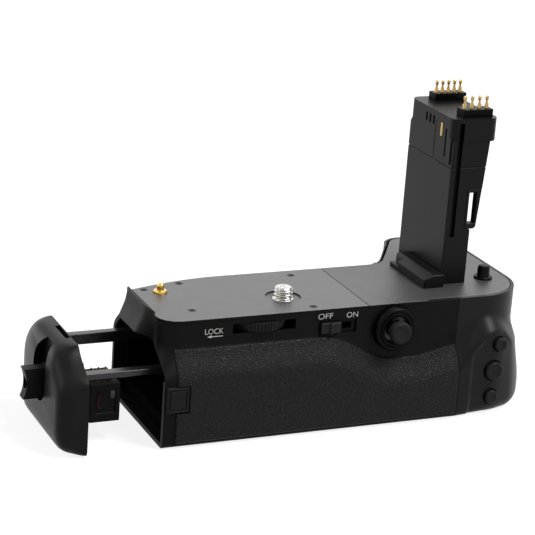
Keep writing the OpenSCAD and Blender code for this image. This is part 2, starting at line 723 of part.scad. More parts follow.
stem_r = 1.3;
module joystick_stem() {
    color([0.5, 0.5, 0.52]) at_joystick() {
        translate([0, 0, -0.8]) cylinder(r = 2.3, h = 1.6, $fn = 48);
        rotate([90, 0, 0]) cylinder(r = pivot_r, h = 2 * 4.1, center = true, $fn = 24);
        translate([0, 0, 0.8]) cylinder(r = stem_r, h = 4.4, $fn = 32);
    }
}

joy_cap_r = 3.9;
module joystick_cap() {
    color([0.13, 0.13, 0.13]) at_joystick() difference() {
        union() {
            translate([0, 0, 4.1]) cylinder(r = joy_cap_r, h = 1.9, $fn = 48);
            translate([0, 0, 6]) cylinder(r1 = joy_cap_r, r2 = 2.7, h = 1.1, $fn = 48);
        }
        translate([0, 0, 0]) cylinder(r = stem_r + fit, h = 5.8, $fn = 32);
    }
}

// Thumb buttons and their board

function button_y(b) = rear(b[0], b[1]) + 0.35;
board_y = -rear_y + 4.4;
// Inner faces of the wall behind the lower buttons and behind the top one
button_wall = [-rear_y - rear_flare + 3.4, -rear_y + 1.5];
button_step = 21;
button_room = [buttons[1][0] - buttons[1][2] - 1.1, end_x - 9.9,
    buttons[2][1] - buttons[2][2] - 1.4, buttons[0][1] + buttons[0][2] + 2];
function flange_y(b) = slack + (b[1] > button_step ? button_wall[1] : button_wall[0]);
module thumb_button(b) {
    color([0.1, 0.1, 0.1]) {
        rod_y(b[2] - 0.35, button_y(b) - 1.3, button_y(b) - 0.9, b[0], b[1]);
        rod_y(b[2], button_y(b) - 0.9, flange_y(b) + 0.4, b[0], b[1]);
        rod_y(b[2] + 0.8, flange_y(b), flange_y(b) + 0.9, b[0], b[1]);
    }
}

module star_button() { thumb_button(buttons[0]); }
module focus_button() { thumb_button(buttons[1]); }
module point_button() { thumb_button(buttons[2]); }

module button_board() {
    color([0.1, 0.3, 0.16]) box(button_room[0] + slack, button_room[1] - slack,
        board_y, board_y + 1.2, button_room[2], button_room[3] - slack);
}

module button_switches() {
    color([0.7, 0.7, 0.68]) for (b = buttons)
        box(b[0] - 1.8, b[0] + 1.8, flange_y(b) + button_travel + 1.1, board_y, b[1] - 1.8, b[1] + 1.8);
}

// Vertical shutter button, main dial and function button

module shutter_collar() {
    color([0.16, 0.16, 0.165]) difference() {
        union() {
            rod_x(shutter_r, end_x - 2.2, side_face + 1.5, shutter_y, shutter_z);
            rod_x(shutter_r + 0.8, end_x - 3.4, end_x - 2.2, shutter_y, shutter_z);
        }
        rod_x(4.7, end_x - 10, end_x + 20, shutter_y, shutter_z);
    }
}

module shutter_button() {
    color([0.08, 0.08, 0.08]) {
        rod_x(4.4, end_x - 2, side_face + 2.2, shutter_y, shutter_z);
        translate([side_face + 2.2, shutter_y, shutter_z]) rotate([0, 90, 0])
            cylinder(r1 = 4.4, r2 = 3.6, h = 0.5, $fn = 48);
        rod_x(5.4, end_x - 4.6, end_x - 3.5, shutter_y, shutter_z);
        rod_x(4.4, end_x - 3.5, end_x - 2, shutter_y, shutter_z);
    }
}

module shutter_switch() {
    color([0.3, 0.3, 0.3]) {
        box(end_x - 8.3, end_x - 7.1, func_y - 3, shutter_y + 4, 6, shutter_z + 4);
        box(end_x - 7.1, end_x - 5.6, shutter_y - 3, shutter_y + 3, shutter_z - 3, shutter_z + 3);
        box(end_x - 7.1, end_x - 4.6, func_y - 2, func_y + 2, func_z - 2, func_z + 2);
    }
}

module function_button() {
    color([0.08, 0.08, 0.08]) {
        rod_x(func_r, end_x - 2.1, end_x + 4.6, func_y, func_z);
        rod_x(func_r + 0.9, end_x - 3.4, end_x - 2.3, func_y, func_z);
        rod_x(func_r, end_x - 2.3, end_x - 2.1, func_y, func_z);
    }
}

dial_axle_r = 1.2;
module main_dial() {
    color([0.09, 0.09, 0.09]) difference() {
        translate([dial_x, dial_y[1], dial_z]) rotate([90, 0, 0])
            linear_extrude(dial_y[1] - dial_y[0]) knurl(dial_r, 40, 0.5);
        rod_y(dial_axle_r + fit, 0, 50, dial_x, dial_z);
    }
}

module dial_axle() {
    color([0.6, 0.6, 0.62]) rod_y(dial_axle_r, dial_y[0] - 2.2, dial_y[1] + 2.2, dial_x, dial_z);
}

module dial_bracket() {
    color([0.2, 0.2, 0.2]) difference() {
        for (y = [dial_y[0] - 2.2, dial_y[1] + 0.7])
            box(dial_x - 4, end_x - 2.2, y, y + 1.5, dial_z - 4, dial_z + 4);
        rod_y(dial_axle_r, 0, 50, dial_x, dial_z);
    }
}

// Chamber liner, contacts and boards inside

module chamber_liner() {
    color([0.2, 0.2, 0.21]) difference() {
        box(-mouth_x + mouth_depth, ch_x1, ch_y0, ch_y1, ch_z0, ch_z1);
        box(-mouth_x, ch_x1 - liner_t, in_y0, in_y1, in_z0, in_z1);
    }
}

module chamber_contacts() {
    color([0.75, 0.6, 0.28]) for (i = [0 : 3])
        box(ch_x1 - liner_t - 1.6, ch_x1 - liner_t, -4 + 6 * i, -1.6 + 6 * i, 12, 20);
}

module main_board() {
    color([0.1, 0.3, 0.16])
        box(board_x[0] + 0.3, board_x[1] - 0.3, -rear_y + 5, split_y + 7.6, floor_z, floor_z + 1.2);
}

module board_parts() {
    color([0.12, 0.12, 0.13]) {
        translate([board_x[0] + 6.8, -4, floor_z + 1.2]) cube([8, 8, 1.2]);
        translate([board_x[1] - 12, 2, floor_z + 1.2]) cube([6, 6, 1.4]);
        translate([board_x[0] + 2.8, split_y + 2, floor_z + 1.2]) cube([26, 3, 3.2]);
    }
}

// Tray, drawn shut and then moved out

module out() { translate([-tray_out, 0, 0]) children(); }

cap_sections = [[0, 1], [0.3, 0.995], [0.5, 0.97], [0.7, 0.91], [0.85, 0.82], [0.95, 0.68], [1, 0.48]];
cap_mid = [-12, 15];
well_floor = 0.62 * cap_u;
cap_room = 0.45 * cap_u;
function cap_row(s) = [for (p = mouth_loop)
    [rim_x - cap_u * s[0], mix(cap_mid[0], p[0], s[1]), mix(cap_mid[1], p[1], s[1])]];
module tray_cap() {
    color([0.16, 0.16, 0.165]) out() difference() {
        stack([for (s = cap_sections) cap_row(s)]);
        box(rim_x - cap_room, rim_x + 1, -7, 20, 8, 27);
        translate([rim_x - cap_u - 5, 0, 0]) rotate([90, 0, 90])
            linear_extrude(cap_u + 5 - well_floor) well_shape();
        rod_x(shaft_r + fit, rim_x - cap_u, rim_x, key_y, key_z);
        tongue_sweep(gap / 2);
    }
}

// Finger well drawn flat: upright slot with a pointed arch at its top
well_r = 6.4;
well_h = 5.6;
module well_shape() {
    translate([key_y, key_z]) {
        circle(r = well_r, $fn = 48);
        translate([-well_r, 0]) square([2 * well_r, well_h]);
        intersection() {
            translate([-6, well_h]) circle(r = well_r + 6, $fn = 64);
            translate([6, well_h]) circle(r = well_r + 6, $fn = 64);
            translate([-20, well_h]) square([40, 20]);
        }
    }
}

shaft_r = 2;
module lock_key() {
    disc_x = rim_x - well_floor - slack;
    tip = 5.8;
    color([0.2, 0.2, 0.2]) out() difference() {
        union() {
            rod_x(5.8, disc_x - 1.6, disc_x, key_y, key_z);
            translate([0, key_y + key_t / 2, 0]) rotate([90, 0, 0]) linear_extrude(key_t) difference() {
                translate([rim_x - cap_u - tip, key_z - key_w / 2])
                    square([disc_x - 1.6 - rim_x + cap_u + tip, key_w]);
                translate([rim_x - cap_u - tip - 11.2, key_z]) circle(r = 12.4, $fn = 64);
            }
        }
        rod_x(shaft_r, rim_x - 30, disc_x + 1, key_y, key_z);
    }
}

module key_shaft() {
    color([0.6, 0.6, 0.62]) out() {
        rod_x(shaft_r, rim_x - cap_u, rim_x - cap_room + 0.2, key_y, key_z);
        rod_x(3.6, rim_x - cap_room + 0.2, rim_x - bolt_u[1], key_y, key_z);
        rod_x(shaft_r, rim_x - bolt_u[1], rim_x - bolt_u[0] + 0.2, key_y, key_z);
    }
}

// Locking tongue on the shaft: lies level in the cap, stands up into the trim when locked
module latch_bar() {
    color([0.5, 0.5, 0.5]) out() translate([rim_x - bolt_u[1], key_y, key_z])
        rotate([90, 0, 90]) linear_extrude(bolt_u[1] - bolt_u[0]) difference() {
            union() {
                circle(r = shaft_r + 1.4, $fn = 48);
                translate([0, -bolt_w / 2]) square([bolt_reach - bolt_w / 2, bolt_w]);
                translate([bolt_reach - bolt_w / 2, 0]) circle(r = bolt_w / 2, $fn = 48);
            }
            circle(r = shaft_r, $fn = 48);
        }
}

rail_front = [in_y1 - tray_gap - 3.2, in_y1 - tray_gap];
rail_rear = [in_y0 + tray_gap, in_y0 + tray_gap + 3.4];
tray_x1 = ch_x1 - liner_t - 2.6;
back_t = 1.6;
module tray_frame() {
    color([0.24, 0.24, 0.245]) out() {
        box(rim_x + back_t, tray_x1, rail_front[0], rail_front[1], 21.7, 25.6);
        box(rim_x + back_t, tray_x1, rail_rear[0], rail_rear[1], 22, 24.2);
        box(tray_x1 - 1.6, tray_x1, rail_rear[1], rail_front[0], in_z0 + tray_gap, in_z1 - tray_gap);
    }
}

// Plate behind the cap that carries the rails and the contact block
module tray_back() {
    color([0.13, 0.13, 0.13]) out()
        box(rim_x, rim_x + back_t, rail_rear[0], rail_front[1], in_z0 + tray_gap, in_z1 - tray_gap);
}

block_x = [rim_x + 4.1, rim_x + 14.5];
block_z = 20.4;
module tray_block() {
    color([0.12, 0.12, 0.12]) out() difference() {
        union() {
            box(block_x[0], block_x[1], rail_rear[0], rail_rear[0] + 14, in_z0 + tray_gap, block_z);
            box(rim_x + back_t, block_x[0] + 1, rail_rear[0] + 2, rail_rear[0] + 12, 9, 18);
        }
        box(block_x[0] + 2, block_x[1] - 1.6, rail_rear[0] - 1, rail_rear[0] + 0.5, 10, 18);
    }
}

// Sprung leaf on top of the contact block
module tray_contacts() {
    t = 0.8;
    turns = [for (i = [0 : 6]) [block_x[0] + 1.4 + 1.25 * i, i % 2 == 0 ? block_z : block_z + 2.2]];
    color([0.75, 0.6, 0.28]) out() translate([0, rail_rear[0] + 8, 0]) rotate([90, 0, 0]) linear_extrude(3)
        polygon(concat(turns, [for (i = [6 : -1 : 0]) turns[i] + [0, t]]));
}

// Stalk

module stalk_column() {
    wing = [stalk_w + 3.3, stalk_w + 4.6];
    seam_z = panel_z - 1.2;
    color([0.14, 0.14, 0.145]) difference() {
        translate([0, stalk_y + stalk_d, 0]) rotate([90, 0, 0]) linear_extrude(stalk_d) polygon([
            [stalk_x, seat_z - root_h], [stalk_x + stalk_w, seat_z - root_h], [stalk_x + stalk_w, strap_z],
            [stalk_x + wing[0], strap_z], [stalk_x + wing[1], head_z], [stalk_x, head_z]]);
        box(strap_x - slack, stalk_x + 30, stalk_y - 1, stalk_y + 4.4, deck_z + 19.5, strap_z);
        stalk_groove();
        box(stalk_x - 1, stalk_x + 30, stalk_y - 1, stalk_y + 0.3, seam_z, seam_z + 0.4);
        box(stalk_x - 1, stalk_x + 0.3, stalk_y - 1, stalk_y + stalk_d + 1, seam_z, seam_z + 0.4);
    }
}

// Groove along the rear face of the stalk
module stalk_groove() {
    box(stalk_x + 1.9, stalk_x + 3.7, stalk_y - 1, stalk_y + 1.6, deck_z + 17, top_z - 1.4);
}

head_x = [stalk_x - 0.4, stalk_x + 17];
module stalk_head() {
    color([0.15, 0.15, 0.155]) difference() {
        union() {
            translate([0, 0, head_z]) linear_extrude(top_z - head_z)
                round_plate(head_x[0], head_x[1], stalk_y - 0.3, stalk_y + stalk_d + 0.3, 3);
            box(head_x[0], stalk_x, stalk_y + 1.4, stalk_y + stalk_d - 1.4, panel_z, head_z + 1);
        }
        stalk_groove();
        for (i = [0 : 2])
            box(head_x[0] - 1, head_x[0] + 0.7, 13.4 + 2.6 * i, 14.6 + 2.6 * i, top_z - 5.2, top_z - 2.1);
        box(head_x[0] - 1, head_x[0] + 0.3, 4, 5, panel_z + 2, top_z - 4.4);
        box(head_x[0] - 1, head_x[0] + 0.3, 12, 12.4, panel_z - 1, top_z - 3.2);
        box(head_x[0] - 1, head_x[0] + 0.6, leaf_y - 0.9, leaf_y + 0.9, head_z, head_z + 5);
        for (p = pins_front) rod_z(pin_r + gap, top_z - 1.4, top_z + 1, p[0], p[1]);
        for (p = pins_rear) rod_z(pin_r + gap, top_z - 1.4, top_z + 1, p[0], p[1]);
    }
}

// Sprung catch that hangs under the wing of the stalk
module stalk_latch() {
    x1 = [stalk_x + stalk_w + 2.2, stalk_x + stalk_w + 3.3];
    low_z = deck_z + 19.7;
    color([0.2, 0.2, 0.2]) translate([0, stalk_y + 3, 0]) rotate([90, 0, 0]) linear_extrude(3) difference() {
        polygon([[strap_x, low_z + 0.8], [strap_x + 0.8, low_z], [x1[0] - 0.8, low_z], [x1[0], low_z + 0.8],
            [x1[1], strap_z], [strap_x, strap_z]]);
        translate([strap_x + 1, low_z + 2]) square([2.9, strap_z - low_z - 3.2]);
    }
}

// Block at the foot of the stalk, sloping down to the tray end
module stalk_foot() {
    foot_x = [stalk_x - 7.9, stalk_x - slack];
    color([0.12, 0.12, 0.125]) difference() {
        translate([0, 23, 0]) rotate([90, 0, 0]) linear_extrude(26.7) polygon([[foot_x[0], deck_z],
            [foot_x[1], deck_z], [foot_x[1], deck_z + 4.6],
            [foot_x[0] + 3.6, deck_z + 4.6], [foot_x[0], deck_z + 3.2]]);
        box(foot_x[0] - 1, foot_x[0] + 2.4, 17, 30, deck_z + 1.4, deck_z + 9);
    }
}

// Gold contact on the upper stalk
leaf_y = 8;
module side_contact() {
    color([0.8, 0.62, 0.25])
        box(head_x[0] - 0.2, head_x[0] + 0.6, leaf_y - 0.6, leaf_y + 0.6, head_z + 0.1, head_z + 4.9);
}

// Sprung pins on top of the stalk and the blocks that guide them
pin_r = 0.7;
pin_h = 4.4;
block_h = 2.6;
pins_front = [for (i = [0 : 4]) [stalk_x + 6.7 + 2.35 * i, stalk_y + 27.6]];
pins_rear = [for (i = [0 : 3]) [stalk_x + 5.6 + 2.85 * i, stalk_y + 4.8]];
module pin_block(ps) {
    last = len(ps) - 1;
    color([0.1, 0.1, 0.1]) difference() {
        box(ps[0][0] - 1.5, ps[last][0] + 1.5, ps[0][1] - 2.4, ps[0][1] + 2.4, top_z, top_z + block_h);
        for (p = ps) rod_z(pin_r + fit, top_z - 1, top_z + block_h + 1, p[0], p[1]);
    }
}

module contact_pins(ps) {
    color([0.83, 0.66, 0.3]) for (p = ps) {
        rod_z(pin_r, top_z + 0.2, top_z + block_h + 1.6, p[0], p[1]);
        rod_z(pin_r - 0.3, top_z + block_h + 1.6, top_z + block_h + 2.8, p[0], p[1]);
        rod_z(pin_r - 0.1, top_z + block_h + 2.8, top_z + block_h + pin_h - 0.4, p[0], p[1]);
        translate([p[0], p[1], top_z + block_h + pin_h - 0.4])
            cylinder(r1 = pin_r - 0.1, r2 = pin_r - 0.45, h = 0.4, $fn = 48);
    }
}

module pin_block_front() { pin_block(pins_front); }
module pin_block_rear() { pin_block(pins_rear); }
module contact_pins_front() { contact_pins(pins_front); }
module contact_pins_rear() { contact_pins(pins_rear); }

rear_housing();
front_housing();
end_housing();
left_trim();
camera_plate();
stalk_plate();
base_plate();
casing_screws();
tripod_socket();
rear_rubber();
grip_rubber();
port_cover();
wheel_axle();
lock_wheel();
screw_bush();
screw_gear();
camera_screw();
brass_pin();
black_pin();
power_switch();
switch_block();
joystick_boss();
joystick_bezel();
joystick_gimbal();
joystick_stem();
joystick_cap();
star_button();
focus_button();
point_button();
button_board();
button_switches();
shutter_collar();
shutter_button();
shutter_switch();
function_button();
main_dial();
dial_axle();
dial_bracket();
chamber_liner();
chamber_contacts();
main_board();
board_parts();
tray_cap();
lock_key();
key_shaft();
latch_bar();
tray_frame();
tray_back();
tray_block();
tray_contacts();
plate_screws();
stalk_column();
stalk_head();
stalk_latch();
stalk_foot();
side_contact();
pin_block_front();
pin_block_rear();
contact_pins_front();
contact_pins_rear();
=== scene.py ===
import math

import bmesh
import bpy
import numpy as np
from mathutils import Matrix, Vector


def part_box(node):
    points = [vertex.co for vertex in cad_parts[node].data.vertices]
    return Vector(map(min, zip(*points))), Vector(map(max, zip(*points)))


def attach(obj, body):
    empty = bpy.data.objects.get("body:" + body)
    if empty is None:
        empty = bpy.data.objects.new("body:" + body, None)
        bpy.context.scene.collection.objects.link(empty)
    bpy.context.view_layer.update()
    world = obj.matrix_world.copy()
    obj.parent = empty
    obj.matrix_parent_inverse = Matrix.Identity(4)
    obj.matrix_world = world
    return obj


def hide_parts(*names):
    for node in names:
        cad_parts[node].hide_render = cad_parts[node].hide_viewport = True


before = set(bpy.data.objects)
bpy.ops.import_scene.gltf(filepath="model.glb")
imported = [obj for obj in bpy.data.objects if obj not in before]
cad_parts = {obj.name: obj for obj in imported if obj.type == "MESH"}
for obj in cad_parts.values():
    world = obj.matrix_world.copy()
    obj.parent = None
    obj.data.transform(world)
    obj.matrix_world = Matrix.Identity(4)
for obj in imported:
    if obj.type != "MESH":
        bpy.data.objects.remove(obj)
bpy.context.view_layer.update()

# Measures in millimetres that several pieces share: the seam to the end housing and the start of
# the rim round the plate, both along X; the radius of the base edge on the casing and on the end;
# how far the grip's front runs out per millimetre of X; and the face of the print on the strip.
seam_x, rim_x = 60.0, 48.0
base_edge, end_edge = 1.6, 4.0
grip_ramp = 1.586
print_y = -15.03

# ---- Rear housing ---------------------------------------------------------------------------
# Moulded black shell behind the lens axis: base, lower back, shoulder with the thumb valley, and
# the upright strip with the slots of the lock wheel and power switch. Glass-filled plastic with a
# fine spark-eroded skin, held to the front housing by four screws from below.


def ease(t):
    """Smooth step: three t squared less two t cubed, with t held between 0 and 1."""
    t = np.clip(t, 0.0, 1.0)
    return t * t * (3.0 - 2.0 * t)


def bend(t, r):
    """Zero below -r, t above r, and the parabola that joins the two lines between them."""
    return np.where(t < -r, 0.0, np.where(t > r, t, (t + r) ** 2 / (4.0 * r)))


def edge_in(z, r):
    """How far a rounded base edge of radius r is drawn in at height z: a quarter circle."""
    return np.where(z < r, r - np.sqrt(np.maximum(0.0, r * r - (r - z) ** 2)), 0.0)


def shoulder_top(x):
    """Height where the shoulder starts: level, falling into the thumb valley under the joystick,
    partly rising after it, then arching over the thumb buttons; each by smooth steps."""
    valley = ease((x - 8.0) / 28.0) - 0.3 * ease((x - 42.0) / 20.0)
    arch = ease((x - 58.0) / 13.5) - 0.6 * ease((x - 72.0) / 12.0)
    return 34.3 - 10.0 * valley + 9.0 * arch


def shoulder_span(x):
    """Height of the shoulder from strip to lower back, shorter past the seam."""
    return 11.0 - 3.5 * ease((x - seam_x) / 8.0)


def back_y(x, z):
    """Back face: the strip, blended over the shoulder into the lower back, and pulled round the corner."""
    t = ease((shoulder_top(x) - z) / shoulder_span(x))
    pull = np.where(x < -42.0, 7.0 - np.sqrt(np.maximum(0.0, 49.0 - (x + 42.0) ** 2)), 0.0)
    return -15.0 + pull * (1.0 - t) - 5.2 * t


def sheet(rows, wrap=False):
    """Points and quads of a grid rows[u, v, xyz]; each quad joins neighbouring rows and columns,
    and wrap joins the last column to the first."""
    rows = np.asarray(rows, float)
    nu, nv = rows.shape[:2]
    u, v = np.meshgrid(np.arange(nu - 1), np.arange(nv if wrap else nv - 1), indexing="ij")
    w = (v + 1) % nv
    quads = np.stack([u * nv + v, (u + 1) * nv + v, (u + 1) * nv + w, u * nv + w], -1)
    return rows.reshape(-1, 3), quads.reshape(-1, 4)


def slab(x0, x1, y0, y1, z0, z1):
    """Points and quads of an upright block between three pairs of planes."""
    x, y, z = np.meshgrid((x0, x1), (y0, y1), (z0, z1), indexing="ij")
    points = np.stack([x, y, z], -1).reshape(-1, 3).astype(float)
    quads = [[0, 1, 3, 2], [4, 6, 7, 5], [0, 4, 5, 1], [2, 3, 7, 6], [0, 2, 6, 4], [1, 5, 7, 3]]
    return points, np.array(quads)


def turned(profile, at, along, n=72):
    """Profile of (radius, height) pairs swept round the line through `at` along `along`."""
    profile = np.asarray(profile, float)
    along = np.asarray(along, float) / np.linalg.norm(along)
    side = np.cross(along, (0.0, 0.0, 1.0) if abs(along[2]) < 0.9 else (1.0, 0.0, 0.0))
    side /= np.linalg.norm(side)
    a = np.linspace(0.0, 2.0 * np.pi, n, endpoint=False)
    ring = np.cos(a)[:, None] * side + np.sin(a)[:, None] * np.cross(along, side)
    rows = np.asarray(at, float) + profile[:, 0, None, None] * ring + profile[:, 1, None, None] * along
    return sheet(rows, wrap=True)


def rod(r, at, along, low, high, n=96):
    """Closed cylinder of radius r from `low` to `high` along an axis."""
    return turned([(0, low), (r, low), (r, high), (0, high)], at, along, n)


def placed(name, mesh):
    """New object of a mesh or curve, put into the scene."""
    piece = bpy.data.objects.new(name, mesh)
    bpy.context.scene.collection.objects.link(piece)
    return piece


def shaped(name, *sheets):
    """One object from sheets in millimetres, with doubles merged and faces turned outwards."""
    starts = np.cumsum([0] + [len(p) for p, q in sheets])
    mesh = bpy.data.meshes.new(name)
    mesh.from_pydata(np.concatenate([p for p, q in sheets]) * 0.001, [],
                     np.concatenate([q + s for (p, q), s in zip(sheets, starts)]).tolist())
    bm = bmesh.new()
    bm.from_mesh(mesh)
    bmesh.ops.remove_doubles(bm, verts=bm.verts, dist=2e-6)
    bmesh.ops.recalc_face_normals(bm, faces=bm.faces)
    bm.to_mesh(mesh)
    bm.free()
    return placed(name, mesh)


def settled(piece):
    """Works the piece's modifiers into its mesh."""
    graph = bpy.context.evaluated_depsgraph_get()
    mesh = bpy.data.meshes.new_from_object(piece.evaluated_get(graph))
    piece.modifiers.clear()
    piece.data = mesh
    return piece


def walled(piece, wall):
    """Gives an open skin its wall, in millimetres, towards its inside: the faces are first turned
    so that on the whole they look away from the middle."""
    count = len(piece.data.polygons)
    centre, normal, area = np.zeros(count * 3), np.zeros(count * 3), np.zeros(count)
    piece.data.polygons.foreach_get("center", centre)
    piece.data.polygons.foreach_get("normal", normal)
    piece.data.polygons.foreach_get("area", area)
    centre = centre.reshape(-1, 3) - centre.reshape(-1, 3).mean(0)
    if (area * (centre * normal.reshape(-1, 3)).sum(1)).sum() < 0.0:
        piece.data.flip_normals()
    solid = piece.modifiers.new("wall", "SOLIDIFY")
    solid.thickness = wall * 0.001
    solid.offset = -1.0
    bpy.context.view_layer.update()
    return settled(piece)


def cut(piece, *tools):
    """Takes closed tool shapes out of a closed piece, one after the other."""
    for tool in tools:
        cutter = shaped("cutter", tool)
        take = piece.modifiers.new("cut", "BOOLEAN")
        take.object = cutter
        take.solver = "EXACT"
        take.use_hole_tolerant = True
        bpy.context.view_layer.update()
        settled(piece)
        bpy.data.objects.remove(cutter)
    return piece


def fitted(piece, finish, body, slot, *nodes, sharp=38.0):
    """Shades the piece smooth up to an edge angle, gives it its finish, and ties it to its body."""
    piece.data.shade_smooth()
    piece.data.set_sharp_from_angle(angle=math.radians(sharp))
    piece.data.materials.clear()
    piece.data.materials.append(finish)
    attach(piece, body)
    if nodes:
        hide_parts(*nodes)
    return piece


def new_finish(name):
    """New material: itself, its nodes, links and shader, and the node that gives places on a piece."""
    finish = bpy.data.materials.new(name)
    finish.use_nodes = True
    nodes, links = finish.node_tree.nodes, finish.node_tree.links
    return finish, nodes, links, nodes["Principled BSDF"], nodes.new("ShaderNodeTexCoord")


def noise(nodes, links, place, scale, detail):
    """Noise over a piece, with `scale` waves to the metre."""
    texture = nodes.new("ShaderNodeTexNoise")
    texture.inputs["Scale"].default_value = scale
    texture.inputs["Detail"].default_value = detail
    links.new(place.outputs["Object"], texture.inputs["Vector"])
    return texture


def toned(nodes, links, shader, pattern, colours, roughs, stops=(0.0, 1.0)):
    """Lets a pattern choose between two colours, from one stop to the other, and two roughnesses."""
    shade = nodes.new("ShaderNodeValToRGB")
    for element, stop, colour in zip(shade.color_ramp.elements, stops, colours):
        element.position = stop
        element.color = [*colour, 1.0]
    links.new(pattern, shade.inputs["Fac"])
    links.new(shade.outputs["Color"], shader.inputs["Base Color"])
    sheen = nodes.new("ShaderNodeMapRange")
    sheen.inputs["To Min"].default_value, sheen.inputs["To Max"].default_value = roughs
    links.new(pattern, sheen.inputs["Value"])
    links.new(sheen.outputs["Result"], shader.inputs["Roughness"])


def raised(nodes, links, pattern, strength, depth):
    """Bump from a pattern, its depth in millimetres."""
    bump = nodes.new("ShaderNodeBump")
    bump.inputs["Strength"].default_value = strength
    bump.inputs["Distance"].default_value = depth * 0.001
    links.new(pattern, bump.inputs["Height"])
    return bump


def moulded(name, colour, rough, grain=0.35, depth=0.02, gloss=0.2, fleck=0.16):
    """Moulded plastic: spark-eroded grain as bump, faint cloudy change of shade and sheen over
    some millimetres. grain and depth are in millimetres."""
    finish, nodes, links, shader, place = new_finish(name)
    shader.inputs["Specular IOR Level"].default_value = gloss
    cloud = noise(nodes, links, place, 140.0, 5.0)
    dark_pale = [[c * (1.0 + f) for c in colour] for f in (-fleck, fleck)]
    toned(nodes, links, shader, cloud.outputs["Fac"], dark_pale, (rough - 0.05, rough + 0.05), (0.3, 0.7))
    spark = noise(nodes, links, place, 1000.0 / grain, 2.0)
    bump = raised(nodes, links, spark.outputs["Fac"], 0.5, depth)
    links.new(bump.outputs["Normal"], shader.inputs["Normal"])
    return finish


housing_black = moulded("housing_black", (0.0046, 0.0046, 0.0048), 0.48, gloss=0.07)
joystick_at = np.array((35.0, -15.0, 33.6))
joystick_out = np.array((0.0, -1.0, 0.0))


def back_grid(x):
    """Section of the rear housing at each x: base inwards to outwards, base round, lower back,
    shoulder, strip, and the flange under the plate, which past rim_x is a low rim round it."""
    foot = back_y(x, np.zeros_like(x)) + base_edge
    base = np.linspace(0.0, 1.0, 7)[:-1, None]
    a = np.radians(np.linspace(0.0, 90.0, 8))[:, None]
    top = shoulder_top(x)
    low = top - shoulder_span(x)
    rim = x > rim_x
    z = np.concatenate([
        np.broadcast_to(base_edge * (1.0 - np.cos(a)), (8, len(x))),
        base_edge + (low - base_edge) * np.linspace(0.0, 1.0, 13)[1:-1, None],
        low + (top - low) * np.linspace(0.0, 1.0, 44)[:, None],
        top + (np.where(rim, 42.05, 40.9) - top) * np.linspace(0.0, 1.0, 18)[1:, None]])
    y = back_y(x, z) + edge_in(z, base_edge)
    level = np.where(rim, 42.2, 41.0)
    y = np.concatenate([10.0 + (foot - 10.0) * base, y, [y[-1] + 0.15], [y[-1] + np.where(rim, 1.1, 3.0)]])
    z = np.concatenate([np.zeros((6, len(x))), z, [level], [level]])
    return np.stack([np.broadcast_to(x, y.shape), y, z], -1)


back_x = np.concatenate([-42.0 - 7.0 * np.sin(np.radians(np.linspace(90.0, 3.0, 26))),
                         np.linspace(-42.0, rim_x - 0.01, 200), np.linspace(rim_x + 0.01, seam_x, 28)])
rear_shell = walled(shaped("rear_shell", sheet(back_grid(back_x))), 1.6)
cut(rear_shell,
    slab(-24.2, -1.6, -18.0, -12.0, 36.2, 39.8),
    slab(-26.5, 0.7, -14.3, -12.0, 35.4, 40.4),
    slab(7.0, 21.0, -18.0, -14.1, 33.2, 38.0),
    slab(8.6, 19.4, -18.0, -12.0, 34.4, 36.8),
    rod(7.9, joystick_at, joystick_out, -6.0, 12.0),
    slab(-47.9, -40.9, -24.0, -18.8, 13.1, 21.1))
fitted(rear_shell, housing_black, "casing", "housing", "rear_housing")

# ---- Front housing --------------------------------------------------------------------------
# The lens-side half of the casing: a plain moulded wall that swells below the plate and runs out
# into the hand grip. Same plastic as the rear half, joined to it along the base.


def front_y(x, z):
    """Front face: the plate's edge above, blended into the fuller lower wall, ramping to the grip."""
    high = 24.6 - 7.4 * np.maximum(0.0, (-14.0 - x) / 36.0) ** 1.8 + grip_ramp * bend(x - 48.1, 4.0)
    low = 31.0 + 0.9 * grip_ramp * bend(x - 50.0, 4.0)
    return high + (low - high) * ease((40.0 - z) / 16.0)


def front_grid(x):
    """Section of the front housing at each x: base, base round, lower wall, swell, and top flange."""
    a = np.radians(np.linspace(0.0, 90.0, 8))[:, None]
    rim = x > rim_x
    z = np.concatenate([
        np.broadcast_to(base_edge * (1.0 - np.cos(a)), (8, len(x))),
        np.broadcast_to(np.linspace(base_edge, 24.0, 12)[1:, None], (11, len(x))),
        np.broadcast_to(np.linspace(24.0, 40.0, 40)[1:, None], (39, len(x))),
        [np.where(rim, 42.05, 40.9)]])
    y = front_y(x, z) - edge_in(z, base_edge)
    base = np.linspace(0.0, 1.0, 7)[:-1, None]
    level = np.where(rim, 42.2, 41.0)
    y = np.concatenate([10.0 + (y[0] - 10.0) * base, y, [y[-1] - 0.15], [y[-1] - np.where(rim, 1.1, 3.0)]])
    z = np.concatenate([np.zeros((6, len(x))), z, [level], [level]])
    return np.stack([np.broadcast_to(x, y.shape), y, z], -1)


front_x = np.concatenate([np.linspace(-49.0, 44.0, 120), np.linspace(44.4, rim_x - 0.01, 12),
                          np.linspace(rim_x + 0.01, seam_x, 40)])
front_shell = walled(shaped("front_shell", sheet(front_grid(front_x))), 1.6)
fitted(front_shell, housing_black, "casing", "housing", "front_housing")

# Rib behind the tray mouth, moulded with the two halves, that frames the battery chamber.
mouth_rib = shaped("mouth_rib", *(slab(-45.0, -44.0, *bar) for bar in (
    (-18.9, 29.4, 1.2, 5.6), (-13.4, 22.0, 29.5, 33.4), (-18.9, -10.4, 5.6, 22.0),
    (-14.6, -10.4, 22.0, 29.5), (27.6, 29.4, 5.6, 29.5))))
liner_black = moulded("liner_black", (0.002, 0.002, 0.002), 0.8, gloss=0.01)
fitted(mouth_rib, liner_black, "casing", "housing")

